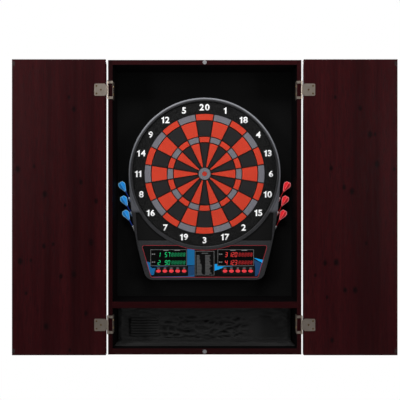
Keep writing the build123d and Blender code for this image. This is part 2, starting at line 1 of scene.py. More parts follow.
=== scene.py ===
# %% [markdown]
# # An electronic dart board in its wooden wall cabinet
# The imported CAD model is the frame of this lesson. Every wooden panel, moulding,
# hinge leaf and scoring segment is already in it at its true size and place. What is
# left for Blender is the finish of each of those parts, and the thin or soft things
# that solid modelling leaves out: printed numbers and films, lit digits, screw
# recesses, dart flights and the wrinkled cloth at the back of the storage bay.

# %% Load the frame
import math
from functools import partialmethod
import bmesh
import bpy
from mathutils import Matrix, Vector, noise


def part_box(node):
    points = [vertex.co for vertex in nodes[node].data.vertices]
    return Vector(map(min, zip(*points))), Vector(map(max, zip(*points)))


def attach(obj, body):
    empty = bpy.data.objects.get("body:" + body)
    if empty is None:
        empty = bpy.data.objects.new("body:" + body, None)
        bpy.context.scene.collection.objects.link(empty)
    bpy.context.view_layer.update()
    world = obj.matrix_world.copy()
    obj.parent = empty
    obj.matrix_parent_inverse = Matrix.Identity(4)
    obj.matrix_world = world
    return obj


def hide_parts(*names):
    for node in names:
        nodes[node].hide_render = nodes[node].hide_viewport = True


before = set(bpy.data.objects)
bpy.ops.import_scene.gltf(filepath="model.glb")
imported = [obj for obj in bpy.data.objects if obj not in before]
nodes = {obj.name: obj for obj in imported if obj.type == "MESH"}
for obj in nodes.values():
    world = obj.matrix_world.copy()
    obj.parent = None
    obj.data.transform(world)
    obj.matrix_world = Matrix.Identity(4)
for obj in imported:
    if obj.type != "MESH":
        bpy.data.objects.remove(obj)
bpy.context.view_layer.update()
scene = bpy.context.scene

# %% [markdown]
# ## Where things are
# Every place in this lesson is read from the frame, so a change in the CAD source
# moves the looks with it. The board has its own origin, the centre of the bull, and
# a "front" value is a distance from the wall towards the room, in millimetres.

# %% Reference places
MM = 0.001


def front_of(node):
    """How far in front of the wall a CAD node's foremost face is, in millimetres."""
    return -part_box(node)[0].y / MM


BULL_Z = sum(corner.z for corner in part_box("bull_inner")) / 2
CASE_FRONT = -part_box("left_side")[0].y
INNER_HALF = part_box("right_side")[0].x
print("bull at z", round(BULL_Z, 4), "case front", round(CASE_FRONT, 4))


def board(x, z, front):
    """A point given in millimetres about the bull."""
    return Vector((x * MM, -front * MM, BULL_Z + z * MM))


def on_board(node):
    """A CAD node's middle x and z about the bull, its width and height, in millimetres."""
    low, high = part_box(node)
    at, size = (low + high) / 2, high - low
    return at.x / MM, (at.z - BULL_Z) / MM, size.x / MM, size.z / MM


# %% [markdown]
# ## Camera and studio
# A product view: the camera stands straight in front, a little left of the middle and
# a little above it, far enough back that the open doors fit. The lamps are large and
# soft. They stand high and to the sides, because a lamp near the camera would lay a
# milky reflection over the dark wood and the black plastic.

# %% Camera
camera_data = bpy.data.cameras.new("studio_camera")
camera_data.lens = 45.51
camera_data.sensor_width = 36.0
camera = bpy.data.objects.new("studio_camera", camera_data)
camera.location = (-0.015, -1.702, 0.023)
camera.rotation_euler = (math.radians(90), 0, 0)
scene.collection.objects.link(camera)
scene.camera = camera
scene.view_settings.view_transform = "Standard"
print("camera at", tuple(camera.location))


# %% Lamps
LAMPS = (("top", (-0.3, -1.3, 2.0), (2.0, 0.8), 56),
         ("left", (-2.3, -1.5, 0.5), (0.8, 1.6), 44),
         ("right", (2.3, -1.5, 0.3), (0.8, 1.6), 38),
         ("low", (0.0, -1.4, -1.9), (1.8, 0.7), 22),
         ("back", (0.6, 2.2, 1.4), (1.6, 1.2), 60))
for side, place, size, watts in LAMPS:
    light = bpy.data.lights.new("softbox_" + side, "AREA")
    light.shape = "RECTANGLE"
    light.size, light.size_y = size
    light.energy = watts
    lamp = bpy.data.objects.new("softbox_" + side, light)
    lamp.location = place
    aim = Vector((0, 0, 0)) - Vector(place)
    lamp.rotation_euler = aim.to_track_quat("-Z", "Y").to_euler()
    lamp.visible_camera = False
    scene.collection.objects.link(lamp)
print("lamps:", len(LAMPS))

# %% World
world = bpy.data.worlds.new("studio")
scene.world = world
world.use_nodes = True
world_tree = world.node_tree
seen = world_tree.nodes["Background"]
seen.inputs["Color"].default_value = (1.0, 1.0, 1.0, 1)
dim = world_tree.nodes.new("ShaderNodeBackground")
dim.inputs["Color"].default_value = (0.05, 0.05, 0.053, 1)
to_camera = world_tree.nodes.new("ShaderNodeLightPath")
either = world_tree.nodes.new("ShaderNodeMixShader")
world_tree.links.new(to_camera.outputs["Is Camera Ray"], either.inputs[0])
world_tree.links.new(dim.outputs[0], either.inputs[1])
world_tree.links.new(seen.outputs[0], either.inputs[2])
world_tree.links.new(either.outputs[0], world_tree.nodes["World Output"].inputs[0])
print("world nodes:", len(world_tree.nodes))

# %% [markdown]
# ## A small language for finishes
# A finish is a net of nodes. Writing nets by hand hides the idea behind wiring, so
# two small classes do it: `Wire` is an output that takes part in ordinary Python
# arithmetic, and `Finish` adds any other node. An expression such as
# `1 - ring * 0.5` then becomes Math nodes.


# %% Wires and finishes
class Wire:
    """One output socket. Python's operators on it add Math nodes."""

    def __init__(self, finish, socket):
        self.finish = finish
        self.socket = socket

    def maths(self, operation, *others):
        return self.finish.maths(operation, self, *others)

    __add__ = __radd__ = partialmethod(maths, "ADD")
    __sub__ = partialmethod(maths, "SUBTRACT")
    __mul__ = partialmethod(maths, "MULTIPLY")
    __truediv__ = partialmethod(maths, "DIVIDE")
    __gt__ = partialmethod(maths, "GREATER_THAN")
    __lt__ = partialmethod(maths, "LESS_THAN")

    def __rsub__(self, other):
        return self.finish.maths("SUBTRACT", other, self)


def tone(values):
    """A colour with full alpha, from one grey or three linear numbers."""
    if isinstance(values, (int, float)):
        values = (values, values, values)
    return (*values[:3], 1.0)


class Finish:
    """A procedural material. add() makes any node, and the rest are shorthands."""

    def __init__(self, name):
        self.material = bpy.data.materials.new(name)
        self.material.use_nodes = True
        self.tree = self.material.node_tree
        self.tree.nodes.clear()

    def add(self, kind, settings=(), inputs=(), output=0):
        node = self.tree.nodes.new("ShaderNode" + kind)
        for key, value in dict(settings).items():
            if key == "stops":
                steps = node.color_ramp.elements
                for place, _ in value[1:-1]:
                    steps.new(place)
                for step, (place, shade) in zip(steps, value):
                    step.position = place
                    step.color = tone(shade)
            else:
                setattr(node, key, value)
        for key, value in dict(inputs).items():
            if isinstance(value, Wire):
                self.tree.links.new(value.socket, node.inputs[key])
            else:
                node.inputs[key].default_value = value
        return Wire(self, node.outputs[output]) if node.outputs else None

    def maths(self, operation, *values):
        return self.add("Math", {"operation": operation}, dict(enumerate(values)))

    def here(self):
        return self.add("TexCoord", output="Object")

    def split(self, vector, names="XYZ"):
        outs = self.add("SeparateXYZ", inputs={0: vector}).socket.node.outputs
        return [Wire(self, outs[name]) for name in names]

    def axes(self):
        """x, y and z of the object's own coordinates, in metres."""
        return self.split(self.here())

    def map(self):
        """Both numbers of the piece's own map."""
        return self.split(self.add("UVMap", {"uv_map": "UVMap"}), "XY")

    def noise(self, scale, detail=3.0, rough=0.5, warp=0.0):
        """Cloudy noise. A scale of three numbers stretches it."""
        place = self.here()
        if not isinstance(scale, (int, float)):
            place = self.add("Mapping", inputs={"Vector": place, "Scale": scale})
            scale = 1.0
        return self.add("TexNoise", inputs={
            "Vector": place, "Scale": scale, "Detail": detail,
            "Roughness": rough, "Distortion": warp})

    def cells(self, scale):
        return self.add("TexVoronoi", inputs={"Vector": self.here(), "Scale": scale})

    def step(self, value, low, high):
        """0 at low, 1 at high, smooth between and level beyond. Low may be the larger."""
        return self.add("MapRange", {"interpolation_type": "SMOOTHSTEP"}, {
            "Value": value, "From Min": low, "From Max": high,
            "To Min": 0.0, "To Max": 1.0})

    def ramp(self, value, stops):
        return self.add("ValToRGB", {"stops": stops}, {0: value})

    def mix(self, factor, a, b):
        """Colour a where factor is 0, colour b where it is 1."""
        pair = [v if isinstance(v, Wire) else tone(v) for v in (a, b)]
        return self.add("Mix", {"data_type": "RGBA"},
                        {0: factor, 6: pair[0], 7: pair[1]}, output=2)

    def bump(self, height, distance, strength):
        return self.add("Bump", inputs={
            "Height": height, "Distance": distance, "Strength": strength})

    def surface(self, colour, rough, normal=None, **constants):
        inputs = {"Base Color": colour if isinstance(colour, Wire) else tone(colour),
                  "Roughness": rough}
        if normal is not None:
            inputs["Normal"] = normal
        for key, value in constants.items():
            inputs[key.replace("_", " ")] = value
        return self.add("BsdfPrincipled", inputs=inputs)

    def either(self, mask, first, second):
        """The first shader where mask is 0, the second where it is 1."""
        return self.add("MixShader", inputs={0: mask, 1: first, 2: second})

    def done(self, shader):
        self.add("OutputMaterial", inputs={"Surface": shader})
        return self

    def on(self, *names):
        """Gives the finish to CAD nodes."""
        for name in names:
            slots = nodes[name].data.materials
            slots.clear()
            slots.append(self.material)
        return self


print("finish language ready")

# %% [markdown]
# ## The floor
# A plain pale floor far below the cabinet. It glows faintly so that it stays as pale
# as the background, and a little noise keeps it from being one dead tone.

# %% Floor
def placed(name, bm, finish):
    """Turns a bmesh into an object at the origin, with one finish."""
    mesh = bpy.data.meshes.new(name)
    bm.to_mesh(mesh)
    bm.free()
    mesh.materials.append(finish.material)
    made = bpy.data.objects.new(name, mesh)
    scene.collection.objects.link(made)
    return made


pale = Finish("studio_floor")
pale_tone = pale.mix(pale.noise(3.0), 0.86, 0.92)
pale.done(pale.surface(pale_tone, 0.9, Emission_Color=tone(1.0), Emission_Strength=0.55))
floor_bm = bmesh.new()
bmesh.ops.create_grid(floor_bm, x_segments=2, y_segments=2, size=1.25,
                      matrix=Matrix.Translation((0, 0, -1.25)))
floor = placed("floor", floor_bm, pale)
print("floor faces:", len(floor.data.polygons))

# %% [markdown]
# ## Mahogany
# The cabinet is faced with a dark mahogany veneer: a deep red-brown film of stain over
# straight grain, with fine pores and scattered pin knots. The grain is noise that is
# stretched along the board. Pores are the same noise at a finer scale, cut off so that
# only its darkest streaks remain, and they also dent the surface. Inside the case the
# same boards are painted black, so a mask on the object's own coordinates picks which
# of the two shaders a face gets.


# %% Veneer shader
# Noise scales across the grain, per metre: cloudy figure, bands, fibres and pores.
FIGURE, BANDS, FIBRES, PORES = 34, 15, 480, 1150
KNOT_SIZE = 0.0034
KNOT_GROWTH = 0.0013


def veneer(finish, along, knots=(), shade=1.0):
    """The shader of stained veneer, grain along x or z. Shade below 1 is painted shade."""
    stretch = Vector((1, 1, 0.03)) if along == "z" else Vector((0.03, 1, 1))
    broad = finish.noise(stretch * FIGURE, 3, 0.55, 0.6)
    bands = finish.noise(stretch * BANDS, 1, 0.4, 0.3)
    fibre = finish.noise(stretch * FIBRES, 5, 0.65)
    pore = finish.step(finish.noise(stretch * PORES, 2, 0.5), 0.36, 0.46)
    figure = broad * 0.55 + fibre * 0.45
    colour = finish.ramp(figure, [
        (0.30, (0.0140, 0.0012, 0.0018)),
        (0.46, (0.0205, 0.0020, 0.0028)),
        (0.56, (0.0250, 0.0027, 0.0035)),
        (0.72, (0.0340, 0.0042, 0.0050))])
    darker = finish.mix(0.62, (0, 0, 0), colour)
    colour = finish.mix(finish.step(bands, 0.36, 0.60), darker, colour)
    colour = finish.mix(1 - pore, colour, (0.0095, 0.0014, 0.0020))
    if knots:
        colour = finish.mix(pin_knots(finish, knots), colour, (0.0042, 0.0007, 0.0010))
    if shade < 1:
        colour = finish.mix(shade, (0, 0, 0), colour)
    rough = 0.30 + fibre * 0.12
    normal = finish.bump(pore * 0.7 + fibre * 0.3, 0.00012, 0.5)
    return finish.surface(colour, rough, normal, Specular_IOR_Level=0.09)


def pin_knots(finish, knots):
    """1 at small knots, each given by its x and z."""
    found = None
    x, _, z = finish.axes()
    for index, (knot_x, knot_z) in enumerate(knots):
        size = KNOT_SIZE + KNOT_GROWTH * (index % 3)
        away = finish.maths("SQRT", (x - knot_x) * (x - knot_x)
                            + (z - knot_z) * (z - knot_z) * 0.5)
        spot = 1 - finish.step(away, size * 0.5, size * 1.9)
        found = spot if found is None else finish.maths("MAXIMUM", found, spot)
    return found


def black_paint(finish):
    """The shader of flat black paint on board."""
    cloud = finish.noise(9.0, 3)
    colour = finish.mix(cloud, (0.0012, 0.0010, 0.0012), (0.0026, 0.0020, 0.0022))
    grain = finish.noise(900.0, 4, 0.6)
    normal = finish.bump(grain, 0.0001, 0.4)
    return finish.surface(colour, 0.55 + grain * 0.15, normal, Specular_IOR_Level=0.04)


print("veneer and paint ready")

# %% Case boards
EDGE = 0.0009


def case_board(name, along, painted, shade=1.0):
    """Veneer, with painted shade where shade is below 1, and black paint where painted(x, y, z)
    is 1.
    """
    finish = Finish(name)
    mask = painted(*finish.axes())
    return finish.done(finish.either(mask, veneer(finish, along, shade=shade),
                                     black_paint(finish)))


def behind_front(y):
    return y > EDGE - CASE_FRONT


inner_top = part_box("top_panel")[0].z
inner_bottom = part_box("bottom_panel")[1].z
# The shade numbers here and below are painted shade: they darken the veneer of the left side,
# the right side, the bottom and the shelf.
for node, shade in (("left_side", 0.5), ("right_side", 0.85)):
    case_board(node + "_board", "z", lambda x, y, z: behind_front(y)
               * (x.maths("ABSOLUTE") < INNER_HALF + EDGE), shade).on(node)
case_board("top_board", "x", lambda x, y, z: behind_front(y)
           * (z < inner_top + EDGE)).on("top_panel")
case_board("bottom_board", "x", lambda x, y, z: behind_front(y)
           * (z > inner_bottom - EDGE), 0.85).on("bottom_panel")
case_board("shelf_board", "x", lambda x, y, z: behind_front(y), 0.62).on("shelf")
print("case boards dressed")

# %% Doors
# Each knot is centimetres in from the door's free edge and down from its top.
LEFT_KNOTS = ((18, 12), (19.6, 15.8), (1.9, 34.7), (7, 33.8), (21.8, 38.8), (10.4, 42.6),
              (16.8, 46.1), (26.6, 44.8), (25, 57.8), (13, 58.4), (10.1, 59), (2.6, 63.8),
              (6, 63.5), (15.5, 68.5), (19.6, 67.9), (4.5, 73.9), (23.4, 80.2),
              (10.8, 84.3), (18.3, 91.9))
RIGHT_KNOTS = ((19.7, 12), (11.8, 15.5), (8.7, 23.7), (7.1, 23.7), (21, 34.4), (6.5, 33.1),
               (1.1, 34.7), (16.9, 40.4), (14.4, 41.7), (9.9, 58.1), (22.9, 64.4),
               (19.4, 64.1), (26, 68.2), (16.6, 72.9), (13.4, 72.9), (22.3, 75.1),
               (20.7, 88.7))
for node, side, knots in (("left_door", -1, LEFT_KNOTS), ("right_door", 1, RIGHT_KNOTS)):
    low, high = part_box(node)
    free_edge = low.x if side < 0 else high.x
    places = [(free_edge - side * across / 100, high.z - down / 100)
              for across, down in knots]
    door = Finish(node + "_veneer")
    door.done(veneer(door, "z", places)).on(node)
    print(node, "knots:", len(places))

# %% [markdown]
# ## Back of the case
# The upper bay is lined with a thin black foam sheet that swallows light: almost no
# gloss, a very fine cell structure, and a slow change of tone. The panel behind it is
# hardboard, black inside and bare brown on the side that faces the wall.

# %% Liner and back panel
foam = Finish("foam_liner")
foam_cells = foam.cells(1300.0)
foam_tone = foam.mix(foam.noise(3.2, 3), 0.0034, 0.0062)
foam_dots = foam.mix(foam.step(foam_cells, 0.1, 0.6), 0.0030, 1.0)
foam_tone = foam.add("Mix", {"data_type": "RGBA", "blend_type": "MULTIPLY"},
                     {0: 0.35, 6: foam_tone, 7: foam_dots}, output=2)
foam.done(foam.surface(foam_tone, 0.82, foam.bump(foam_cells, 0.0002, 0.35),
                       Specular_IOR_Level=0.05)).on("back_liner")

BARE_FROM = -0.0006
hardboard = Finish("hardboard")
_, board_y, _ = hardboard.axes()
fibres = hardboard.noise(260.0, 6, 0.7)
brown = hardboard.mix(fibres, (0.075, 0.036, 0.016), (0.16, 0.085, 0.042))
bare = hardboard.surface(brown, 0.8, hardboard.bump(fibres, 0.0003, 0.4),
                         Specular_IOR_Level=0.25)
hardboard.done(hardboard.either(board_y > BARE_FROM, black_paint(hardboard), bare)).on(
    "back_panel")
print("back of the case dressed")


# %% [markdown]
# ## Metals
# Stamped hinge leaves are nickel plated: warm grey, with the fine lengthwise lines of
# rolled strip and a few cloudy stains. Screws are brass plated, the magnets are bright
# ground steel, and the strikes they pull are blackened. All are metals, so their
# colour is in the reflection, and what makes each one look real is how its roughness
# varies.

# %% Metal finishes
def metal(name, dark, light, rough, lines):
    """Plated metal: lines sets how far its brushing runs along each axis."""
    finish = Finish(name)
    brushing = finish.noise([700 * a for a in lines], 4, 0.6)
    cloud = finish.noise(72.0, 4, 0.6)
    colour = finish.mix(cloud * 0.6 + brushing * 0.4, dark, light)
    normal = finish.bump(brushing, 0.00003, 0.35)
    return finish.done(finish.surface(colour, rough + brushing * 0.16, normal, Metallic=1.0))


nickel = metal("hinge_nickel", (0.30, 0.25, 0.205), (0.56, 0.485, 0.41), 0.30, (1, 1, 0.06))
nickel.on("left_door_leaves", "right_door_leaves", "hinge_frame_leaves")
pin_steel = metal("pin_steel", (0.34, 0.33, 0.31), (0.60, 0.58, 0.55), 0.26, (1, 1, 0.05))
pin_steel.on("hinge_pins", "board_screws")
brass = metal("screw_brass", (0.26, 0.165, 0.060), (0.50, 0.34, 0.150), 0.26, (1, 1, 1))
brass.on("left_door_screws", "right_door_screws", "frame_screws")
bright = metal("magnet_steel", (0.55, 0.55, 0.56), (0.85, 0.85, 0.87), 0.24, (1, 1, 0.2))
bright.on("door_magnets")
dark_steel_and_recess_shade = metal("strike_steel_and_recess_shade", (0.020, 0.014, 0.014), (0.050, 0.036, 0.034), 0.5,
                   (1, 1, 1))
dark_steel_and_recess_shade.on("left_door_strikes", "right_door_strikes")
print("metals ready")


# %% [markdown]
# ## Moulded plastics
# The board's shells are injection moulded. Such plastic has an even colour, so what
# makes it real is its texture: a fine spark-eroded grain that breaks up the gloss, and
# a slight unevenness over a hand's width. The bezel's raised rim is a paler grey, with
# painted highlight that makes it paler still towards the top, and the bezel has a dark
# film where its recesses are printed.

# %% Plastic finishes
def moulding(finish, dark, light, rough, grain=1500.0, depth=0.00008, shine=0.20):
    """The shader of moulded plastic with a fine eroded grain."""
    texture = finish.noise(grain, 3, 0.6)
    slow = finish.noise(7.0, 2)
    colour = finish.mix(slow * 0.6 + texture * 0.4, dark, light)
    normal = finish.bump(texture, depth, 0.55)
    return finish.surface(colour, rough + texture * 0.12, normal, Specular_IOR_Level=shine)


def moulded(name, parts, *look, **more):
    """A moulded plastic's whole finish, given to CAD nodes."""
    finish = Finish(name)
    return finish.done(moulding(finish, *look, **more)).on(*parts)


moulded("black_moulding", ("board_housing", "power_jack"), 0.0060, 0.0110, 0.42)
web = Finish("spider_black")
web.done(web.surface(web.mix(web.noise(500.0, 2), 0.0030, 0.0055), 0.5,
                     Specular_IOR_Level=0.12)).on("spider")
moulded("switch_film", ("switch_membrane",), 0.30, 0.38, 0.25)
moulded("circuit_green", ("circuit_board",), (0.008, 0.06, 0.02), (0.012, 0.09, 0.03), 0.35)
print("plain mouldings ready")

# %% Bezel with its two printed recesses
# In metres: how far forward the recess floor is, its drops below the bull, its round
# border about the bull, and its straight side, which leans in by RECESS_TAPER per metre.
RECESS_FLOOR = 0.0446
RECESS_TOP, RECESS_LOW = 0.1265, 0.2195
RECESS_ROUND = 0.2472
RECESS_SIDE, RECESS_SIDE_DROP, RECESS_TAPER = 0.22635, 0.127, 0.0652
bezel = Finish("bezel_grey")
bx, by, bz = bezel.axes()
side_x = bx.maths("ABSOLUTE")
drop = BULL_Z - bz
from_bull = bezel.maths("SQRT", bx * bx + drop * drop)
recess = ((by > -RECESS_FLOOR) * (drop > RECESS_TOP) * (drop < RECESS_LOW)
          * (from_bull > RECESS_ROUND)
          * (side_x < RECESS_SIDE - (drop - RECESS_SIDE_DROP) * RECESS_TAPER))
pits = bezel.step(bezel.cells(400.0), 0.15, 0.55)
slow = bezel.noise(6.0, 2)
grey_tone = bezel.mix(slow * 0.4 + pits * 0.6, 0.0090, (0.0270, 0.0270, 0.0295))
# The rim is a paler grey of its own, and painted highlight makes it paler still towards the
# top, as the top lamp would light it.
on_rim = bezel.step(from_bull, 0.2420, 0.2465) * bezel.step(drop, 0.130, 0.115)
rim_top_highlight = bezel.step(drop, 0.10, -0.22)
rim_grey_and_highlight = bezel.mix(rim_top_highlight, (0.085, 0.087, 0.098), (0.225, 0.230, 0.250))
grey_tone = bezel.mix(on_rim, grey_tone, rim_grey_and_highlight)
grey = bezel.surface(grey_tone, 0.38 + pits * 0.06, bezel.bump(pits, 0.00012, 0.6),
                     Specular_IOR_Level=0.20)
film_grain = bezel.noise(1700.0, 2)
film = bezel.surface(bezel.mix(film_grain, 0.0030, 0.0060), 0.46,
                     bezel.bump(film_grain, 0.00006, 0.4), Specular_IOR_Level=0.10)
bezel.done(bezel.either(recess, grey, film)).on("board_bezel")
print("bezel ready")

# %% Number ring
ring = Finish("number_ring_black")
ring_dots = ring.step(ring.cells(370.0), 0.25, 0.6)
ring_tone = ring.mix(ring_dots, 0.0190, 0.0028)
ring.done(ring.surface(ring_tone, 0.5, ring.bump(ring_dots, 0.0002, 0.5),
                       Specular_IOR_Level=0.05)).on("number_ring")
print("number ring ready")

# %% [markdown]
# ## Scoring segments
# Every segment is a soft-tip target: a plastic block with rows of small blind holes
# that follow the rings, about 3.3 mm apart. There are thousands of them, so they are
# made in the shader. The distance from the bull says which row a point is in, the row
# says how many holes go round, and the distance to the nearest hole's centre gives
# both the dent and a dark spot of painted shade inside the hole.


# %% Segment finish
PITCH = 0.0033
HOLE = 0.30


def target_plastic(name, base, shade):
    """Moulded plastic with rows of holes about the bull."""
    finish = Finish(name)
    x, _, z = finish.axes()
    up = z - BULL_Z
    radius = finish.maths("SQRT", x * x + up * up) / PITCH
    row = finish.maths("FLOOR", radius)
    count = finish.maths("ROUND", (row + 0.5) * (2 * math.pi))
    turn = finish.maths("ARCTAN2", up, x) / (2 * math.pi) + 1
    along = finish.maths("FRACT", turn * count) - 0.5
    across = radius - row - 0.5
    away = finish.maths("SQRT", along * along + across * across)
    wall = finish.step(away, HOLE * 0.72, HOLE * 1.12)
    texture = finish.noise(1400.0, 2)
    face = finish.mix(finish.noise(11.0, 2) * 0.6 + texture * 0.4, base, shade)
    # Painted shade: the inside of each hole is the face colour darkened.
    dark = [c * 0.16 for c in base]
    colour = finish.mix(wall, dark, face)
    normal = finish.bump(wall + texture * 0.05, 0.0006, 0.8)
    return finish.done(finish.surface(colour, 0.42, normal, Specular_IOR_Level=0.2))


SEGMENTS = (
    ("segment_red", (0.64, 0.050, 0.022), (0.56, 0.042, 0.018), ("red_rings", "red_singles")),
    ("segment_grey", (0.185, 0.182, 0.205), (0.155, 0.152, 0.175),
     ("grey_rings", "bull_outer")),
    ("segment_black", (0.0175, 0.0165, 0.0170), (0.0135, 0.0125, 0.0130),
     ("black_singles",)),
    ("bull_red", (0.50, 0.036, 0.020), (0.42, 0.030, 0.016), ("bull_inner",)))
for name, base, shade, parts in SEGMENTS:
    target_plastic(name, base, shade).on(*parts)
print("segments ready")

# %% [markdown]
# ## Console
# The console is a black film with printed colour shapes, two tinted windows for the
# score digits, a list of games in the middle, and two pill-shaped button trays. The
# windows are smooth and glossy, so they get a low roughness with faint smears. The
# buttons are soft red rubber that light goes into a little.

# %% Console finishes
moulded("console_film", ("console_panel",), 0.0022, 0.0044, 0.34, 1900.0, 0.00003, 0.08)

window = Finish("tinted_window")
smear = window.noise((30, 30, 90), 4, 0.6, 0.8)
window.done(window.surface(window.mix(smear, 0.0014, 0.0030), 0.10 + smear * 0.12,
                           Specular_IOR_Level=0.20)).on("displays")

moulded("game_list_film", ("game_panel",), 0.0022, 0.0044, 0.32, 1900.0, 0.00003, 0.08)

tray = Finish("button_tray")
_, tray_y, _ = tray.axes()
LIP_DEPTH = 0.3
lip = tray_y < -(front_of("button_trays") - LIP_DEPTH) * MM
tray_dark = moulding(tray, 0.0030, 0.0060, 0.36, shine=0.10)
tray_lip = moulding(tray, 0.012, 0.020, 0.36)
tray.done(tray.either(lip, tray_dark, tray_lip)).on("button_trays")

rubber = Finish("button_rubber")
speck = rubber.noise(1600.0, 2)
rubber_tone = rubber.mix(rubber.noise(60.0, 2), (0.66, 0.030, 0.040), (0.82, 0.050, 0.060))
rubber.done(rubber.surface(rubber_tone, 0.38 + speck * 0.1, rubber.bump(speck, 0.00005, 0.5),
                           Subsurface_Weight=0.12, Subsurface_Scale=0.002,
                           Specular_IOR_Level=0.4))
rubber.on(*[f"button_{i}" for i in range(1, 11)])
print("console finishes ready")


# %% [markdown]
# ## Making pieces
# A new piece starts as a bmesh. When it is finished it becomes an object that sits at
# the origin, as a CAD node does, with its place in its mesh, and rides on a body.

# %% From bmesh to piece
def piece(name, bm, finish, body="case", smooth=None, recalc=True):
    """Turns a bmesh into a named piece that rides on a CAD body."""
    if recalc:
        bmesh.ops.recalc_face_normals(bm, faces=bm.faces[:])
    made = placed(name, bm, finish)
    if smooth is not None:
        made.data.shade_smooth()
        made.data.set_sharp_from_angle(angle=math.radians(smooth))
    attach(made, body)
    print(name, "faces:", len(made.data.polygons))
    return made


def outline_face(bm, corners, front):
    """One flat face on the board, from a few corners in millimetres about the bull."""
    return bm.faces.new([bm.verts.new(board(x, z, front)) for x, z in corners])


def new_verts(result):
    """The vertices among what a bmesh operator made."""
    return [g for g in result["geom"] if isinstance(g, bmesh.types.BMVert)]


def inset(bm, face, inwards):
    """Insets one face evenly, by metres, and returns its border's new faces."""
    return bmesh.ops.inset_region(bm, faces=[face], thickness=inwards, use_boundary=True,
                                  use_even_offset=True)["faces"]


def pour(bm, mesh):
    """Adds a loose mesh to a bmesh and drops it."""
    bm.from_mesh(mesh)
    bpy.data.meshes.remove(mesh)


def thicken(bm, thick):
    """Pulls every face towards the room, in millimetres, and closes the sides."""
    tops = new_verts(bmesh.ops.extrude_face_region(bm, geom=bm.faces[:]))
    bmesh.ops.translate(bm, verts=tops, vec=(0, -thick * MM, 0))


def printed(name, bm, finish, thick):
    """A print on the board's front, from flat faces and a thickness in millimetres."""
    thicken(bm, thick)
    piece(name, bm, finish)


def cad_mesh(node):
    """A CAD node's mesh to measure, its doubled points merged."""
    bm = bmesh.new()
    bm.from_mesh(nodes[node].data)
    bmesh.ops.remove_doubles(bm, verts=bm.verts[:], dist=1e-6)
    return bm


def box_corners(x, z, width, height):
    """Corners of an upright rectangle about a centre."""
    half_w, half_h = width / 2, height / 2
    return ((x - half_w, z - half_h), (x + half_w, z - half_h),
            (x + half_w, z + half_h), (x - half_w, z + half_h))


# %% Ink
def ink(name, dark, light, rough=0.45, glow=0.0):
    """Printed colour with a slight unevenness, or lit colour where glow is above 0."""
    finish = Finish(name)
    patch = finish.noise(900.0, 3, 0.6)
    colour = finish.mix(patch, dark, light)
    extra = {"Emission_Color": colour, "Emission_Strength": glow} if glow else {}
    return finish.done(finish.surface(colour, rough + patch * 0.1,
                                      finish.bump(patch, 0.00003, 0.3),
                                      Specular_IOR_Level=0.3, **extra))


white_ink = ink("white_ink", 0.78, 0.90)
red_ink = ink("red_ink", (0.33, 0.020, 0.030), (0.42, 0.028, 0.040))
grey_ink = ink("grey_ink", 0.045, 0.070)
frame_ink = ink("frame_ink", 0.10, 0.14)
label_ink = ink("label_ink", 0.12, 0.17)
blue_ink = ink("blue_ink", (0.000, 0.085, 0.22), (0.002, 0.115, 0.29))
deep_blue_ink = ink("deep_blue_ink", (0.004, 0.034, 0.100), (0.006, 0.050, 0.135))
cyan_ink = ink("cyan_ink", (0.000, 0.25, 0.62), (0.002, 0.31, 0.72))
print("inks ready")

# %% [markdown]
# ## The twenty numbers
# The numbers are printed white on the ring, upright, each over its own wedge. They
# could be a texture, but real outlines stay sharp at any distance, so each sign is set
# as text, made bolder by offsetting its outline, and turned into a mesh. A mesh can be
# measured, so every sign is scaled to the same height and a number's signs are set
# side by side about its place. Only the 1 is drawn, because the font's has no flag.

# %% Numbers
NUMBERS = (20, 1, 18, 4, 13, 6, 10, 15, 2, 17, 3, 19, 7, 16, 8, 11, 14, 9, 12, 5)
NUMBER_RADIUS = 218.3
NUMBER_HEIGHT = 21.0
NUMBER_WIDEN = 1.08
STAND_UP = Matrix.Rotation(math.radians(90), 4, "X")


def text_mesh(words):
    """A flat, bolder text as a mesh, lying on the ground."""
    curve = bpy.data.curves.new("setting", "FONT")
    curve.body = words
    curve.offset = SIGN_BOLD
    curve.resolution_u = 5
    setting = bpy.data.objects.new("setting", curve)
    scene.collection.objects.link(setting)
    view = bpy.context.evaluated_depsgraph_get()
    mesh = bpy.data.meshes.new_from_object(setting.evaluated_get(view))
    bpy.data.objects.remove(setting)
    return mesh


# The outline of the 1, in shares of its height.
ONE = ((0.42, 0.0), (0.42, 1.0), (0.29, 1.0), (0.20, 0.87), (0.0, 0.80), (0.0, 0.67),
       (0.20, 0.67), (0.20, 0.0))
SIGN_GAP = 0.16
SIGN_BOLD = 0.030


def numeral(sign):
    """A sign's mesh, one unit tall with its low left corner at the origin, and its width."""
    bm = bmesh.new()
    if sign == "1":
        bm.faces.new([bm.verts.new((x, y, 0)) for x, y in ONE])
    else:
        pour(bm, text_mesh(sign))
    xs = [v.co.x for v in bm.verts]
    ys = [v.co.y for v in bm.verts]
    tall = max(ys) - min(ys)
    widen = 1.0 if sign == "1" else NUMBER_WIDEN
    bmesh.ops.translate(bm, verts=bm.verts[:], vec=(-min(xs), -min(ys), 0))
    bmesh.ops.scale(bm, verts=bm.verts[:], vec=(widen / tall, 1 / tall, 1))
    mesh = bpy.data.meshes.new("numeral")
    bm.to_mesh(mesh)
    bm.free()
    return mesh, widen * (max(xs) - min(xs)) / tall


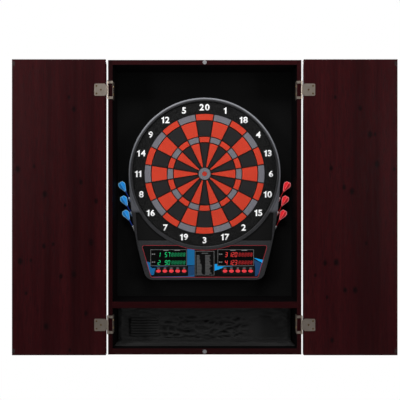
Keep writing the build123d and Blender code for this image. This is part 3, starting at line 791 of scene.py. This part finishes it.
numbers = bmesh.new()
for place, number in enumerate(NUMBERS):
    angle = math.radians(90 - 18 * place)
    at = board(NUMBER_RADIUS * math.cos(angle), NUMBER_RADIUS * math.sin(angle),
               front_of("number_ring"))
    signs = [numeral(sign) for sign in str(number)]
    left = -(sum(width for _, width in signs) + SIGN_GAP * (len(signs) - 1)) / 2
    for mesh, width in signs:
        mesh.transform(Matrix.Translation(at) @ STAND_UP @ Matrix.Scale(NUMBER_HEIGHT * MM, 4)
                       @ Matrix.Translation((left, -0.5, 0)))
        left += width + SIGN_GAP
        pour(numbers, mesh)
bmesh.ops.remove_doubles(numbers, verts=numbers.verts[:], dist=1e-6)
printed("number_prints", numbers, white_ink, 0.3)

# %% [markdown]
# ## Printed console shapes
# The blue flashes are film under the console's clear face. They are flat shapes with a
# few corners each, laid just proud of the panel. Where one runs behind a window or a
# tray, that simply covers it.

# %% Blue flashes
PANEL_FRONT = front_of("console_panel")
BLUE = (((-196, -287), (-178, -291), (-176, -303), (-157, -304), (-152, -311), (-163, -318),
         (-166, -331), (-174, -333), (-186, -314)),
        ((-178, -303), (-120, -303), (-124, -309), (-172, -309)),
        ((-57, -246), (-33, -248), (-33, -300), (-57, -300)),
        ((-170, -338), (-62, -336), (-33, -333), (-33, -337), (-158, -340)))
DEEP = (((162, -281), (191, -296), (184, -318), (172, -335), (165, -336), (166, -310)),
        ((-54, -303), (-33, -301), (-33, -334), (-54, -336)))
CYAN = (((33, -296), (41, -296), (56, -303), (98, -302), (56, -310), (33, -318)),
        ((160, -275.5), (195.5, -283), (193.5, -295)))
for name, shapes, finish in (("blue_flashes", BLUE, blue_ink),
                             ("deep_flashes", DEEP, deep_blue_ink),
                             ("cyan_flashes", CYAN, cyan_ink)):
    flash = bmesh.new()
    for corners in shapes:
        outline_face(flash, corners, PANEL_FRONT)
    printed(name, flash, finish, 0.10 if finish is deep_blue_ink else 0.16)

# %% [markdown]
# ## Red pinstripe
# A thin red line follows the console film just inside its edge. The line has to keep
# an even distance from a border that has straight sides, round corners and one long
# arc, so it is taken from the CAD panel itself: the outer border of its front face
# becomes one new face, and two insets leave a narrow band.


# %% Pinstripe
def front_border(node):
    """The longest closed border of a CAD node's front face, as points in order."""
    bm = cad_mesh(node)
    face_y = min(v.co.y for v in bm.verts)
    flat = {f for f in bm.faces if all(abs(v.co.y - face_y) < 1e-5 for v in f.verts)}
    rim = {e for f in flat for e in f.edges if sum(g in flat for g in e.link_faces) == 1}
    loops = []
    while rim:
        edge = rim.pop()
        walk = [edge.verts[0], edge.verts[1]]
        while True:
            ahead = [e for e in walk[-1].link_edges if e in rim]
            if not ahead:
                break
            rim.remove(ahead[0])
            walk.append(ahead[0].other_vert(walk[-1]))
        loops.append([v.co.copy() for v in walk[:-1]])
    bm.free()
    return max(loops, key=lambda loop: max(p.x for p in loop) - min(p.x for p in loop))


STRIPE_IN = 0.0006
STRIPE_WIDTH = 0.0013
stripe = bmesh.new()
whole = stripe.faces.new([stripe.verts.new(p) for p in front_border("console_panel")])
bmesh.ops.delete(stripe, geom=inset(stripe, whole, STRIPE_IN), context="FACES")
inset(stripe, whole, STRIPE_WIDTH)
bmesh.ops.delete(stripe, geom=[whole], context="FACES")
printed("pinstripe", stripe, red_ink, 0.18)

# %% [markdown]
# ## Score windows
# Each tinted window shows two rows of seven-segment digits: a player's number, a
# score, and a dimmer group of marks. Each lit bar is the same six-cornered shape, so
# one function lays it along any of the seven places of a digit. Digits lean a little,
# as real ones do. The window is a dark solid that would hide them, so they lie on its
# face. A thin grey frame is printed round each window.

# %% Seven-segment digits
WINDOW_FRONT = front_of("displays")
BARS = {"0": "abcdef", "1": "bc", "2": "abged", "3": "abgcd", "4": "fgbc", "5": "afgcd",
        "6": "afgedc", "7": "abc", "8": "abcdefg", "9": "abcdfg", "-": "g", " ": ""}
LEAN = 0.12
BAR_WIDTH = 1.35
BAR_GAP = 0.25


def bar(bm, start, end):
    """A six-cornered bar between two points in millimetres about the bull."""
    start, end = Vector(start), Vector(end)
    along = (end - start).normalized()
    side = Vector((-along.y, along.x)) * BAR_WIDTH / 2
    tip = along * BAR_WIDTH / 2
    first, last = start + along * BAR_GAP, end - along * BAR_GAP
    corners = (first, first + tip - side, last - tip - side, last, last - tip + side,
               first + tip + side)
    outline_face(bm, [(p.x + LEAN * p.y, p.y) for p in corners], WINDOW_FRONT)


def digit(bm, sign, x, z, width, height):
    """One seven-segment digit about a centre. Its lean is taken out of its place."""
    w, h = width / 2, height / 2
    x = x - LEAN * z
    ends = {"a": ((-w, h), (w, h)), "b": ((w, h), (w, 0)), "c": ((w, 0), (w, -h)),
            "d": ((-w, -h), (w, -h)), "e": ((-w, 0), (-w, -h)), "f": ((-w, h), (-w, 0)),
            "g": ((-w, 0), (w, 0))}
    for name in BARS[sign]:
        (x0, z0), (x1, z1) = ends[name]
        bar(bm, (x + x0, z + z0), (x + x1, z + z1))


green_lit = ink("green_lit", (0.004, 0.42, 0.13), (0.010, 0.58, 0.19), glow=0.28)
green_dim = ink("green_dim", (0.002, 0.19, 0.07), (0.004, 0.27, 0.09), glow=0.15)
red_lit = ink("red_lit", (0.66, 0.030, 0.030), (0.80, 0.055, 0.048), glow=0.28)
red_dim = ink("red_dim", (0.34, 0.012, 0.014), (0.44, 0.018, 0.020), glow=0.15)
ROWS = (-265.0, -291.0)
# Digits in a row: the first one's place from the window's middle, step, width, height.
PLAYER, SCORE, MARKS = (-31, 0, 6.5, 14), (-18, 9.5, 6.0, 14), (13, 9.6, 4.8, 11)
DISPLAYS = (("left", -118.0, green_lit, green_dim, (("1", " 57"), ("2", " 90"))),
            ("right", 102.0, red_lit, red_dim, (("3", "120"), ("4", "123"))))


def digit_row(bm, signs, x, z, layout):
    """Signs side by side in a score window whose middle is at x."""
    first, pitch, width, height = layout
    for place, sign in enumerate(signs):
        digit(bm, sign, x + first + pitch * place, z, width, height)


for side, middle_x, lit, dim_ink, rows in DISPLAYS:
    lit_bm, dim_bm = bmesh.new(), bmesh.new()
    for z, (player, score) in zip(ROWS, rows):
        digit_row(lit_bm, player, middle_x, z, PLAYER)
        digit_row(lit_bm, score, middle_x, z, SCORE)
        digit_row(dim_bm, "88888", middle_x, z, MARKS)
    thicken(lit_bm, 0.12)
    thicken(dim_bm, 0.10)
    piece(f"{side}_score_lit", lit_bm, lit)
    piece(f"{side}_score_dim", dim_bm, dim_ink)


# %% Printed frames and labels
LINE = 1.2
WINDOW_WIDTH = 121.0
WINDOW_MARGIN = 2.4
GAME_MARGIN = 0.6


def band(bm, x, z, width, height, front):
    """A rectangular printed line round a centre."""
    face = outline_face(bm, box_corners(x, z, width, height), front)
    bm.normal_update()
    inset(bm, face, LINE * MM)
    bmesh.ops.delete(bm, geom=[face], context="FACES")


frames = bmesh.new()
_, window_z, _, window_h = on_board("displays")
for _, middle_x, *_ in DISPLAYS:
    band(frames, middle_x, window_z, WINDOW_WIDTH - WINDOW_MARGIN,
         window_h - WINDOW_MARGIN, WINDOW_FRONT)
_, game_z, game_w, game_h = on_board("game_panel")
band(frames, 0, game_z, game_w - GAME_MARGIN, game_h - GAME_MARGIN, front_of("game_panel"))
printed("window_frames", frames, frame_ink, 0.08)

# Each word is a bar: its place from the window's middle, and its width.
ROW_WORDS = ((-52.5, 5.5), (-46.0, 4.0))
HEADINGS = ((-9, 17), (28, 18))
HEADING_Z = -250.6
labels = bmesh.new()
for _, middle_x, *_ in DISPLAYS:
    words = [(x, z + 1.5, width, 3.2) for z in ROWS for x, width in ROW_WORDS]
    words += [(x, HEADING_Z, width, 3.0) for x, width in HEADINGS]
    for x, z, width, height in words:
        outline_face(labels, box_corners(middle_x + x, z, width, height), WINDOW_FRONT)
printed("window_labels", labels, label_ink, 0.08)

# %% [markdown]
# ## List of games
# The middle panel lists the games in two ragged columns. The words themselves belong
# to a maker, so each line is a plain bar, as type looks from a few steps away.

# %% Game list
LIST_TOP = -268.5
LINE_PITCH = 4.75
LINE_HEIGHT = 3.9
listing = bmesh.new()
GAME_FRONT = front_of("game_panel")
outline_face(listing, box_corners(1, -260.5, 21, 3.4), GAME_FRONT)
for row in range(14):
    z = LIST_TOP - LINE_PITCH * row
    ragged = noise.noise(Vector((row * 0.83, 0.4, 0))) * 7
    ragged_right = noise.noise(Vector((row * 1.37, 5.1, 0))) * 7
    left_w = 9 + 0.75 * row + ragged * 0.5
    right_w = 16 + ragged_right * 1.4
    for left, width in ((-26, left_w), (2, right_w)):
        outline_face(listing, box_corners(left + width / 2, z, width, LINE_HEIGHT),
                     GAME_FRONT)
printed("game_list", listing, grey_ink, 0.08)

# %% Button icons
icons = bmesh.new()
TRAY_FLOOR = front_of("button_trays") - 1.0
for number in range(1, 11):
    x, z, *_ = on_board(f"button_{number}")
    outline_face(icons, box_corners(x, z + 9.6, 9.5 - number % 3, 2.6), TRAY_FLOOR)
printed("button_icons", icons, label_ink, 0.12)

# %% [markdown]
# ## Cross-recess screws
# A flat disc doesn't read as a screw. The head is a small grid whose middle cross is
# pushed in and whose border is pulled out to a circle, and the countersunk cone is one
# more extrusion of that border.


# %% Screw heads
def screw_head(bm, place, outward, radius):
    """Adds a countersunk cross-recess head at a point, facing outward, all in metres."""
    head = bmesh.new()
    bmesh.ops.create_grid(head, x_segments=5, y_segments=5, size=radius * 0.78)
    middles = {f: f.calc_center_median() for f in head.faces}
    cross = [f for f, at in middles.items()
             if min(abs(at.x), abs(at.y)) < radius * 0.1 and at.length < radius * 0.7]
    for v in head.verts:
        if v.is_boundary:
            v.co = v.co.normalized() * radius
    sunk = new_verts(bmesh.ops.extrude_face_region(head, geom=cross))
    bmesh.ops.delete(head, geom=cross, context="FACES")
    bmesh.ops.translate(head, verts=sunk, vec=(0, 0, -radius * 0.38))
    bmesh.ops.scale(head, verts=sunk, vec=(0.8, 0.8, 1))
    # The faces of the cross recess get the second finish, the dark steel, as painted shade.
    for f in head.faces:
        if any(v in sunk for v in f.verts):
            f.material_index = 1
    border = [e for e in head.edges if e.is_boundary]
    skirt = new_verts(bmesh.ops.extrude_edge_only(head, edges=border))
    bmesh.ops.scale(head, verts=skirt, vec=(0.5, 0.5, 1))
    bmesh.ops.translate(head, verts=skirt, vec=(0, 0, -radius * 0.5))
    bmesh.ops.contextual_create(head, geom=[e for e in head.edges if e.is_boundary])
    bmesh.ops.recalc_face_normals(head, faces=head.faces[:])
    turn = Vector(outward).to_track_quat("Z", "Y").to_matrix().to_4x4()
    bmesh.ops.transform(head, verts=head.verts[:], matrix=Matrix.Translation(place) @ turn)
    mesh = bpy.data.meshes.new("head")
    head.to_mesh(mesh)
    head.free()
    pour(bm, mesh)


def islands(node):
    """The boxes of a CAD node's separate solids, as centre, low and high corners."""
    bm = cad_mesh(node)
    left, found = set(bm.verts), []
    while left:
        group, queue = set(), [left.pop()]
        while queue:
            v = queue.pop()
            group.add(v)
            near = [e.other_vert(v) for e in v.link_edges]
            fresh = [n for n in near if n in left]
            left.difference_update(fresh)
            queue.extend(fresh)
        low = Vector([min(v.co[i] for v in group) for i in range(3)])
        high = Vector([max(v.co[i] for v in group) for i in range(3)])
        found.append(((low + high) / 2, low, high))
    bm.free()
    return sorted(found, key=lambda box: tuple(round(c, 4) for c in box[0]))


for side in ("left", "right"):
    heads = bmesh.new()
    for centre, low, high in islands(f"{side}_door_screws"):
        screw_head(heads, Vector((centre.x, low.y, centre.z)), (0, -1, 0),
                   (high.x - low.x) / 2)
    made = piece(f"{side}_leaf_screws", heads, brass, body=f"{side}_door",
                 smooth=40, recalc=False)
    # Painted shade: the cross recess takes the dark steel finish, so the recess reads dark.
    made.data.materials.append(dark_steel_and_recess_shade.material)
    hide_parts(f"{side}_door_screws")

# %% [markdown]
# ## Plugs over the wall screws
# The case hangs on four screws through its back. Each hole is closed by a small black
# push-in plug, of which a shallow disc with a sloping rim shows.

# %% Wall screw plugs
PLUG_RADIUS = 0.0045
PLUG_PROUD = 0.0012
PLUG_FROM_SIDE = 0.089
PLUG_FROM_TOP = 0.037
plug_x = INNER_HALF - PLUG_FROM_SIDE
plug_low = (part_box("shelf")[1].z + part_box("board_bezel")[0].z) / 2
plugs = bmesh.new()
liner_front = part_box("back_liner")[0].y
for x in (-plug_x, plug_x):
    for z in (inner_top - PLUG_FROM_TOP, plug_low):
        facing = Matrix.Translation((x, liner_front - PLUG_PROUD / 2, z)) @ STAND_UP
        bmesh.ops.create_cone(plugs, cap_ends=True, segments=24, radius1=PLUG_RADIUS,
                              radius2=PLUG_RADIUS * 0.85, depth=PLUG_PROUD, matrix=facing)
piece("wall_screw_plugs", plugs, web, smooth=30)

# %% [markdown]
# ## Darts
# A soft-tip dart is a turned steel barrel with grip rings, a plastic stem, and four
# thin flights. Barrel and stem are profiles spun about the dart's axis. A flight is
# one flat shape with an inset border, repeated at quarter turns, and the border
# carries the film's paler edge. The darts stand in sockets at the board's sides, so
# only the barrel's last few millimetres show.

# %% Dart profiles
GRIP = [(-34 + 1.3 * i, 3.35 if i % 2 else 2.95) for i in range(24)]
BARREL = [(-71, 0), (-70, 0.35), (-46, 0.95), (-46, 2.0), (-45, 2.7), (-42, 3.2),
          (-35, 3.35), *GRIP, (-2, 3.35), (4.4, 3.35), (5.4, 2.9), (6.0, 2.2), (6.0, 0)]
STEM = [(6.0, 0), (6.0, 1.85), (7.5, 1.85), (8.5, 1.45), (11, 1.3), (20, 1.45), (23, 1.75),
        (28, 1.85), (31.4, 1.1), (32, 0)]
FIN = ((26, 0.0), (28, 2.2), (50, 11.4), (57, 11.4), (64, 6.6), (64, 0.0))
FIN_LENGTH = 0.064
FIN_THICK = 0.00028
FIN_BORDER = 0.0015
FIN_ROOT = 0.0022
POINT_TO_MOUTH = 0.071


def turned(profile, steps=28):
    """A profile of (along, radius) pairs in millimetres, spun about z."""
    bm = bmesh.new()
    points = [bm.verts.new((r * MM, 0, z * MM)) for z, r in profile]
    edges = [bm.edges.new(pair) for pair in zip(points, points[1:])]
    bmesh.ops.spin(bm, geom=points + edges, cent=(0, 0, 0), axis=(0, 0, 1), dvec=(0, 0, 0),
                   angle=math.radians(360), steps=steps, use_merge=True)
    bmesh.ops.remove_doubles(bm, verts=bm.verts[:], dist=1e-6)
    bmesh.ops.recalc_face_normals(bm, faces=bm.faces[:])
    return bm


def flights():
    """Four thin closed fins about z. Their map is 1 along x on the outer border."""
    bm = bmesh.new()
    film_map = bm.loops.layers.uv.new("UVMap")
    for quarter in range(4):
        corners = [bm.verts.new((w * MM, 0, u * MM)) for u, w in FIN]
        face = bm.faces.new(corners)
        bm.normal_update()
        flat = [face, *inset(bm, face, FIN_BORDER)]
        for part in flat:
            on_edge = part is not face and max(v.co.x for v in part.verts) > FIN_ROOT
            for loop in part.loops:
                loop[film_map].uv = (float(on_edge), loop.vert.co.z / FIN_LENGTH)
        lows = list({v for part in flat for v in part.verts})
        tops = new_verts(bmesh.ops.extrude_face_region(bm, geom=flat))
        bmesh.ops.translate(bm, verts=tops, vec=(0, FIN_THICK, 0))
        bmesh.ops.translate(bm, verts=lows + tops, vec=(0, -FIN_THICK / 2, 0))
        turn = Matrix.Rotation(math.radians(90 * quarter), 3, "Z")
        bmesh.ops.rotate(bm, verts=lows + tops, cent=(0, 0, 0), matrix=turn)
    bmesh.ops.recalc_face_normals(bm, faces=bm.faces[:])
    return bm


# %% Dart finishes
barrel_steel = metal("dart_steel", (0.78, 0.78, 0.80), (0.95, 0.95, 0.97), 0.34, (1, 1, 1))
# Painted light: the flights glow faintly so they stay bright where the bezel and case shade
# them.
FLIGHT_PAINTED_GLOW = 0.09


def flight_film(name, body_tone, edge_tone):
    """Glossy dyed film that is paler along its outer edge, with a faint painted glow."""
    finish = Finish(name)
    out, along = finish.map()
    ribs = finish.maths("SINE", along * 190) * 0.5 + 0.5
    colour = finish.mix(out * 0.75 + ribs * 0.06, body_tone, edge_tone)
    return finish.done(finish.surface(colour, 0.30 + ribs * 0.06,
                                      finish.bump(ribs, 0.00005, 0.4),
                                      Specular_IOR_Level=0.4, Emission_Color=colour,
                                      Emission_Strength=FLIGHT_PAINTED_GLOW))


blue_film = flight_film("blue_flight", (0.000, 0.37, 0.92), (0.50, 0.82, 0.98))
red_film = flight_film("red_flight", (0.92, 0.020, 0.032), (0.97, 0.42, 0.44))
blue_stem = ink("blue_stem", (0.010, 0.040, 0.30), (0.016, 0.060, 0.40), 0.3)
red_stem = ink("red_stem", (0.38, 0.010, 0.014), (0.48, 0.016, 0.020), 0.3)

# %% Darts in their sockets
DART_LEAN = math.radians(29.0)
for number in range(1, 7):
    side = -1 if number < 4 else 1
    low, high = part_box(f"dart_{number}_flight")
    tip_low, tip_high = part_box(f"dart_{number}_barrel")
    axis = Vector((side * math.sin(DART_LEAN), 0, math.cos(DART_LEAN)))
    far = Vector((tip_low.x if side > 0 else tip_high.x, (low.y + high.y) / 2, tip_low.z))
    sideways = Vector((-axis.z, 0, axis.x))
    point_end = far + Vector((side * axis.z * MM, 0, abs(axis.x) * MM))
    mouth = point_end + axis * POINT_TO_MOUTH
    frame_of_dart = Matrix((sideways, Vector((0, -1, 0)), axis)).transposed().to_4x4()
    put = Matrix.Translation(mouth) @ frame_of_dart
    if put.determinant() < 0:
        put = put @ Matrix.Scale(-1, 4, (1, 0, 0))
    film_finish, stem_finish = ((blue_film, blue_stem) if side < 0 else (red_film, red_stem))
    slot = "flight_blue" if side < 0 else "flight_red"
    for name, bm, finish, kind in (
            ("grip", turned(BARREL), barrel_steel, "dart_steel"),
            ("stem", turned(STEM, 20), stem_finish, slot),
            ("fins", flights(), film_finish, slot)):
        bmesh.ops.transform(bm, verts=bm.verts[:], matrix=put)
        made = piece(f"dart_{number}_{name}", bm, finish, body=f"dart_{number}",
                     smooth=None if name == "fins" else 35, recalc=False)
        if name != "stem":
            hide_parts(f"dart_{number}_" + ("barrel" if name == "grip" else "flight"))

# %% [markdown]
# ## Storage cloth
# The storage bay is lined with one soft black cloth, hung from its top edge, tacked
# all round and turned forward over the floor. It was cut larger than the bay, so it
# lies in wrinkles: stitched ribs on the left, a smooth puffed oval on the right, and
# loose sideways folds between them. The folds are a height over a fine grid, made of
# ridged noise. The creases between them are darkened with painted shade, the cloth is
# painted lighter towards its two ends, and darker as it runs forward over the floor.


# %% Cloth height
# In millimetres. A pair is where a rise or a fall begins and ends. The pillow has its
# middle's x and z, then half its width and height.
FOLD_DROP = 22
RIBS_X = (-252, -244), (-160, -150)
RIBS_Z = (-36, -31), (27, 32)
RIB_PITCH = 9.0
PILLOW = (198, -12, 56, 43)
CENTRE_X = (-165, -120), (105, 150)
CENTRE_Z = (22, 52)


def smooth_step(value, low, high):
    share = min(1.0, max(0.0, (value - low) / (high - low)))
    return share * share * (3 - 2 * share)


def inside(value, rise, fall):
    """0 before the rise, 1 between rise and fall, and 0 after the fall."""
    return smooth_step(value, *rise) * (1 - smooth_step(value, *fall))


def ridge(x, z, across, down, seed):
    """Sharp-crested noise from -1 to 1 with its own spacing along x and z."""
    value = noise.noise(Vector((x / across, z / down, seed)))
    return 1 - 2 * abs(value) * 1.6


def cloth_height(x, z):
    """How far the cloth stands off its backing, in millimetres; x and z from its middle."""
    edge = min(half_x - abs(x), half_z - abs(z))
    tacked = smooth_step(edge, 2.0, 15.0)
    z = z - FOLD_DROP
    ribs = inside(x, *RIBS_X) * inside(z, *RIBS_Z)
    pillow_x, pillow_z, pillow_half_x, pillow_half_z = PILLOW
    oval = ((x - pillow_x) / pillow_half_x) ** 2 + ((z - pillow_z) / pillow_half_z) ** 2
    pillow = 1 - smooth_step(oval, 0.3, 1.15)
    loose = (1 - ribs) * (1 - pillow)
    bend = 9 * noise.noise(Vector((x / 90, 3.3, 0))) + 5 * noise.noise(Vector((x / 33, 7.7, 0)))
    folds = ridge(x, z + bend, 58, 19, 1.7) + ridge(x, z - bend, 31, 13, 5.2) * 0.5
    centre = inside(x, *CENTRE_X) * (1 - smooth_step(abs(z + 8), *CENTRE_Z))
    puff = 1.2 * noise.noise(Vector((x / 48, z / 30, 9.1)))
    rib_wave = 3.4 * abs(math.sin(math.pi * (z - RIBS_Z[0][0]) / RIB_PITCH))
    height = loose * (puff * 2 + folds * (1.0 + 3.4 * centre)) + ribs * rib_wave
    height += pillow * (3.4 - 2.2 * oval)
    return 1.9 + tacked * (2.6 + height * 1.25)


# %% Cloth mesh
liner_low, liner_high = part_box("storage_liner")
cloth_middle = (liner_low + liner_high) / 2
half_x = (liner_high.x - liner_low.x) / 2 / MM
cloth_bm = bmesh.new()
bmesh.ops.create_grid(cloth_bm, x_segments=264, y_segments=84, size=1.0, calc_uvs=False)
weave_map = cloth_bm.loops.layers.uv.new("UVMap")
crease_map = cloth_bm.verts.layers.float.new("crease")
NEARBY = ((5, 0), (-5, 0), (0, 4), (0, -4))
BEND = 14.0
FLOOR_RUN = 62.0
bay_floor = inner_bottom / MM
back_y = liner_high.y / MM
down_run = (liner_high.z - inner_bottom) / MM - 1 - BEND
bend_run = BEND * math.pi / 2
half_z = (down_run + bend_run + FLOOR_RUN) / 2


def lining_place(run, stand):
    """y and z of a point that is a run from the cloth's top edge and stands off the case."""
    if run < down_run:
        return back_y - stand, liner_high.z / MM - 1 - run
    turn = min((run - down_run) / BEND, math.pi / 2)
    past = max(0.0, run - down_run - bend_run)
    reach = BEND - stand
    return (back_y - BEND + reach * math.cos(turn) - past,
            bay_floor + BEND - reach * math.sin(turn))


# The crease value says how far a point lies below its neighbours; the finish paints shade from
# it.
for v in cloth_bm.verts:
    x, z = v.co.x * (half_x - 1), v.co.y * half_z
    stand = cloth_height(x, z)
    around = [cloth_height(x + dx, z + dz) for dx, dz in NEARBY]
    v[crease_map] = sum(around) / len(around) - stand
    lies_y, lies_z = lining_place(half_z - z, stand)
    v.co = Vector((cloth_middle.x + x * MM, lies_y * MM, lies_z * MM))
for face in cloth_bm.faces:
    for loop in face.loops:
        loop[weave_map].uv = (loop.vert.co.x, loop.vert.co.z + loop.vert.co.y)
bmesh.ops.recalc_face_normals(cloth_bm, faces=cloth_bm.faces[:])
if sum(f.normal.y for f in cloth_bm.faces) > 0:
    bmesh.ops.reverse_faces(cloth_bm, faces=cloth_bm.faces[:])

# %% Cloth finish and piece
THREAD = 0.0011
FLOOR_LIGHT, FLOOR_DARK = -0.012, -0.034
woven = Finish("black_cloth")
warp, weft = woven.map()
threads = (woven.maths("SINE", warp * (2 * math.pi / THREAD))
           * woven.maths("SINE", weft * (2 * math.pi / THREAD))) * 0.5 + 0.5
nap = woven.noise(420.0, 4, 0.65)
# Painted light: the cloth is made paler towards its left and right ends.
painted_side_light = woven.step(warp.maths("ABSOLUTE"), 0.08, 0.27)
weave_look = threads * 0.5 + nap * 0.5
cloth_tone = woven.mix(painted_side_light, woven.mix(weave_look, 0.013, 0.030),
                       woven.mix(weave_look, 0.024, 0.050))
# Painted shade: the cloth is darkened in its creases, where it lies below its neighbours.
crease = woven.add("Attribute", {"attribute_name": "crease"}, output="Fac")
cloth_tone = woven.mix(woven.step(crease, -0.5, 1.7), cloth_tone, 0.0040)
_, cloth_y, _ = woven.axes()
# Painted shade: the cloth darkens as it runs forward over the bay floor.
painted_floor_shade = woven.step(cloth_y, FLOOR_LIGHT, FLOOR_DARK)
cloth_tone = woven.mix(painted_floor_shade * 0.66, cloth_tone, (0, 0, 0))
woven.done(woven.surface(cloth_tone, 0.86, woven.bump(threads + nap, 0.0002, 0.5),
                         Specular_IOR_Level=0.15, Sheen_Weight=0.25, Sheen_Roughness=0.4,
                         Sheen_Tint=tone(0.10)))
cloth = piece("storage_cloth", cloth_bm, woven, smooth=60, recalc=False)
thick = cloth.modifiers.new("cloth_thickness", "SOLIDIFY")
thick.thickness = 0.0007
thick.offset = 0
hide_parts("storage_liner")
